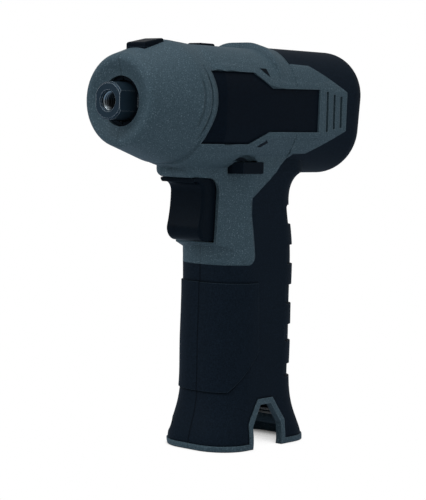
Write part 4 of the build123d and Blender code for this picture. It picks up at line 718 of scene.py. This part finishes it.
# %% Floor
FLOOR_HALF_M = 4.0
FLOOR_DROP_MM = 0.05  # keeps the floor clear of the foot's own bottom
SHADOW_REACH_MM = 30
SHADOW_RANGE = (0.04, 0.62)  # openness that counts as full shadow, and as none
corners = [(x * FLOOR_HALF_M, y * FLOOR_HALF_M, 0) for x, y in ((-1, -1), (1, -1), (1, 1), (-1, 1))]
floor_mesh = bpy.data.meshes.new("floor")
floor_mesh.from_pydata(corners, [], [(0, 1, 2, 3)])
floor = bpy.data.objects.new("floor", floor_mesh)
bpy.context.collection.objects.link(floor)
floor.location.z = -FLOOR_DROP_MM * MM
floor_paper, tree, shader = start_material("paper_sweep_white")[:3]
shader.inputs["Base Color"].default_value = linear("#DEDEDE")
shader.inputs["Roughness"].default_value = 0.9
path = node(tree, "LightPath").outputs
seen = node(tree, "Math", {"operation": "MAXIMUM"}, {0: path["Is Camera Ray"], 1: path["Is Glossy Ray"]})
seen = node(tree, "Math", {"operation": "MAXIMUM"}, {0: seen.outputs[0], 1: path["Is Transmission Ray"]})
contact = node(tree, "AmbientOcclusion", {"samples": 12}, {"Distance": SHADOW_REACH_MM * MM})
shadow = node(tree, "MapRange", inputs={"Value": contact.outputs["AO"], "From Min": SHADOW_RANGE[0],
                                        "From Max": SHADOW_RANGE[1]})
cool = node(tree, "MixRGB", inputs={"Fac": path["Is Glossy Ray"], "Color1": linear("#FFFFFF"),
                                    "Color2": linear("#A9BDD2")})
glow = node(tree, "Emission", inputs={"Color": cool.outputs["Color"], "Strength": shadow.outputs["Result"]})
mixed = node(tree, "MixShader", inputs={0: seen.outputs[0], 1: shader.outputs[0], 2: glow.outputs[0]})
tree.links.new(mixed.outputs[0], tree.nodes["Material Output"].inputs["Surface"])
floor_mesh.materials.append(floor_paper)
print("floor width m:", 2 * FLOOR_HALF_M)

# %% [markdown]
# ## Backdrop
#
# The world is the room behind the paper. It is white to the camera, so that the picture has a white ground,
# and a plain grey as light, so that the tool is lit by the soft boxes and only filled by the room.

# %% World
ROOM_LIGHT = 0.40
world = bpy.data.worlds.new("studio")
bpy.context.scene.world = world
world.use_nodes = True
tree = world.node_tree
path = node(tree, "LightPath").outputs
seen = node(tree, "Math", {"operation": "MAXIMUM"},
            {0: path["Is Camera Ray"], 1: path["Is Transmission Ray"]})
strength = node(tree, "MapRange", inputs={"Value": seen.outputs[0], "To Min": ROOM_LIGHT, "To Max": 1.0})
tree.links.new(strength.outputs["Result"], tree.nodes["Background"].inputs["Strength"])
tree.nodes["Background"].inputs["Color"].default_value = linear("#FFFFFF")
print("room light:", ROOM_LIGHT)

# %% [markdown]
# ## Lamps
#
# Product pictures of dark tools are lit with large soft boxes, because a dark surface shows mostly what it
# reflects. One big box hangs over the tool, one stands at the camera's left to draw the round of the nose,
# and a weak one at the right keeps the side panel readable.

# %% Soft boxes
AIM = Vector((0, 0, 100 * MM))
soft_boxes = (  # name, place in metres, width in metres, power in watts
    ("top_box", (0.10, -0.25, 1.10), 0.9, 7.2),
    ("left_box", (-0.55, -0.95, 0.75), 0.7, 5.0),
    ("right_box", (1.10, -0.10, 0.55), 0.6, 2.0),
)
for name, spot, width, watts in soft_boxes:
    lamp = bpy.data.lights.new(name, "AREA")
    lamp.shape = "SQUARE"
    lamp.size = width
    lamp.energy = watts
    box = bpy.data.objects.new(name, lamp)
    bpy.context.collection.objects.link(box)
    box.location = spot
    box.rotation_euler = (AIM - Vector(spot)).to_track_quat("-Z", "Y").to_euler()
bpy.context.scene.view_settings.view_transform = "Standard"
print("soft boxes:", len(soft_boxes))
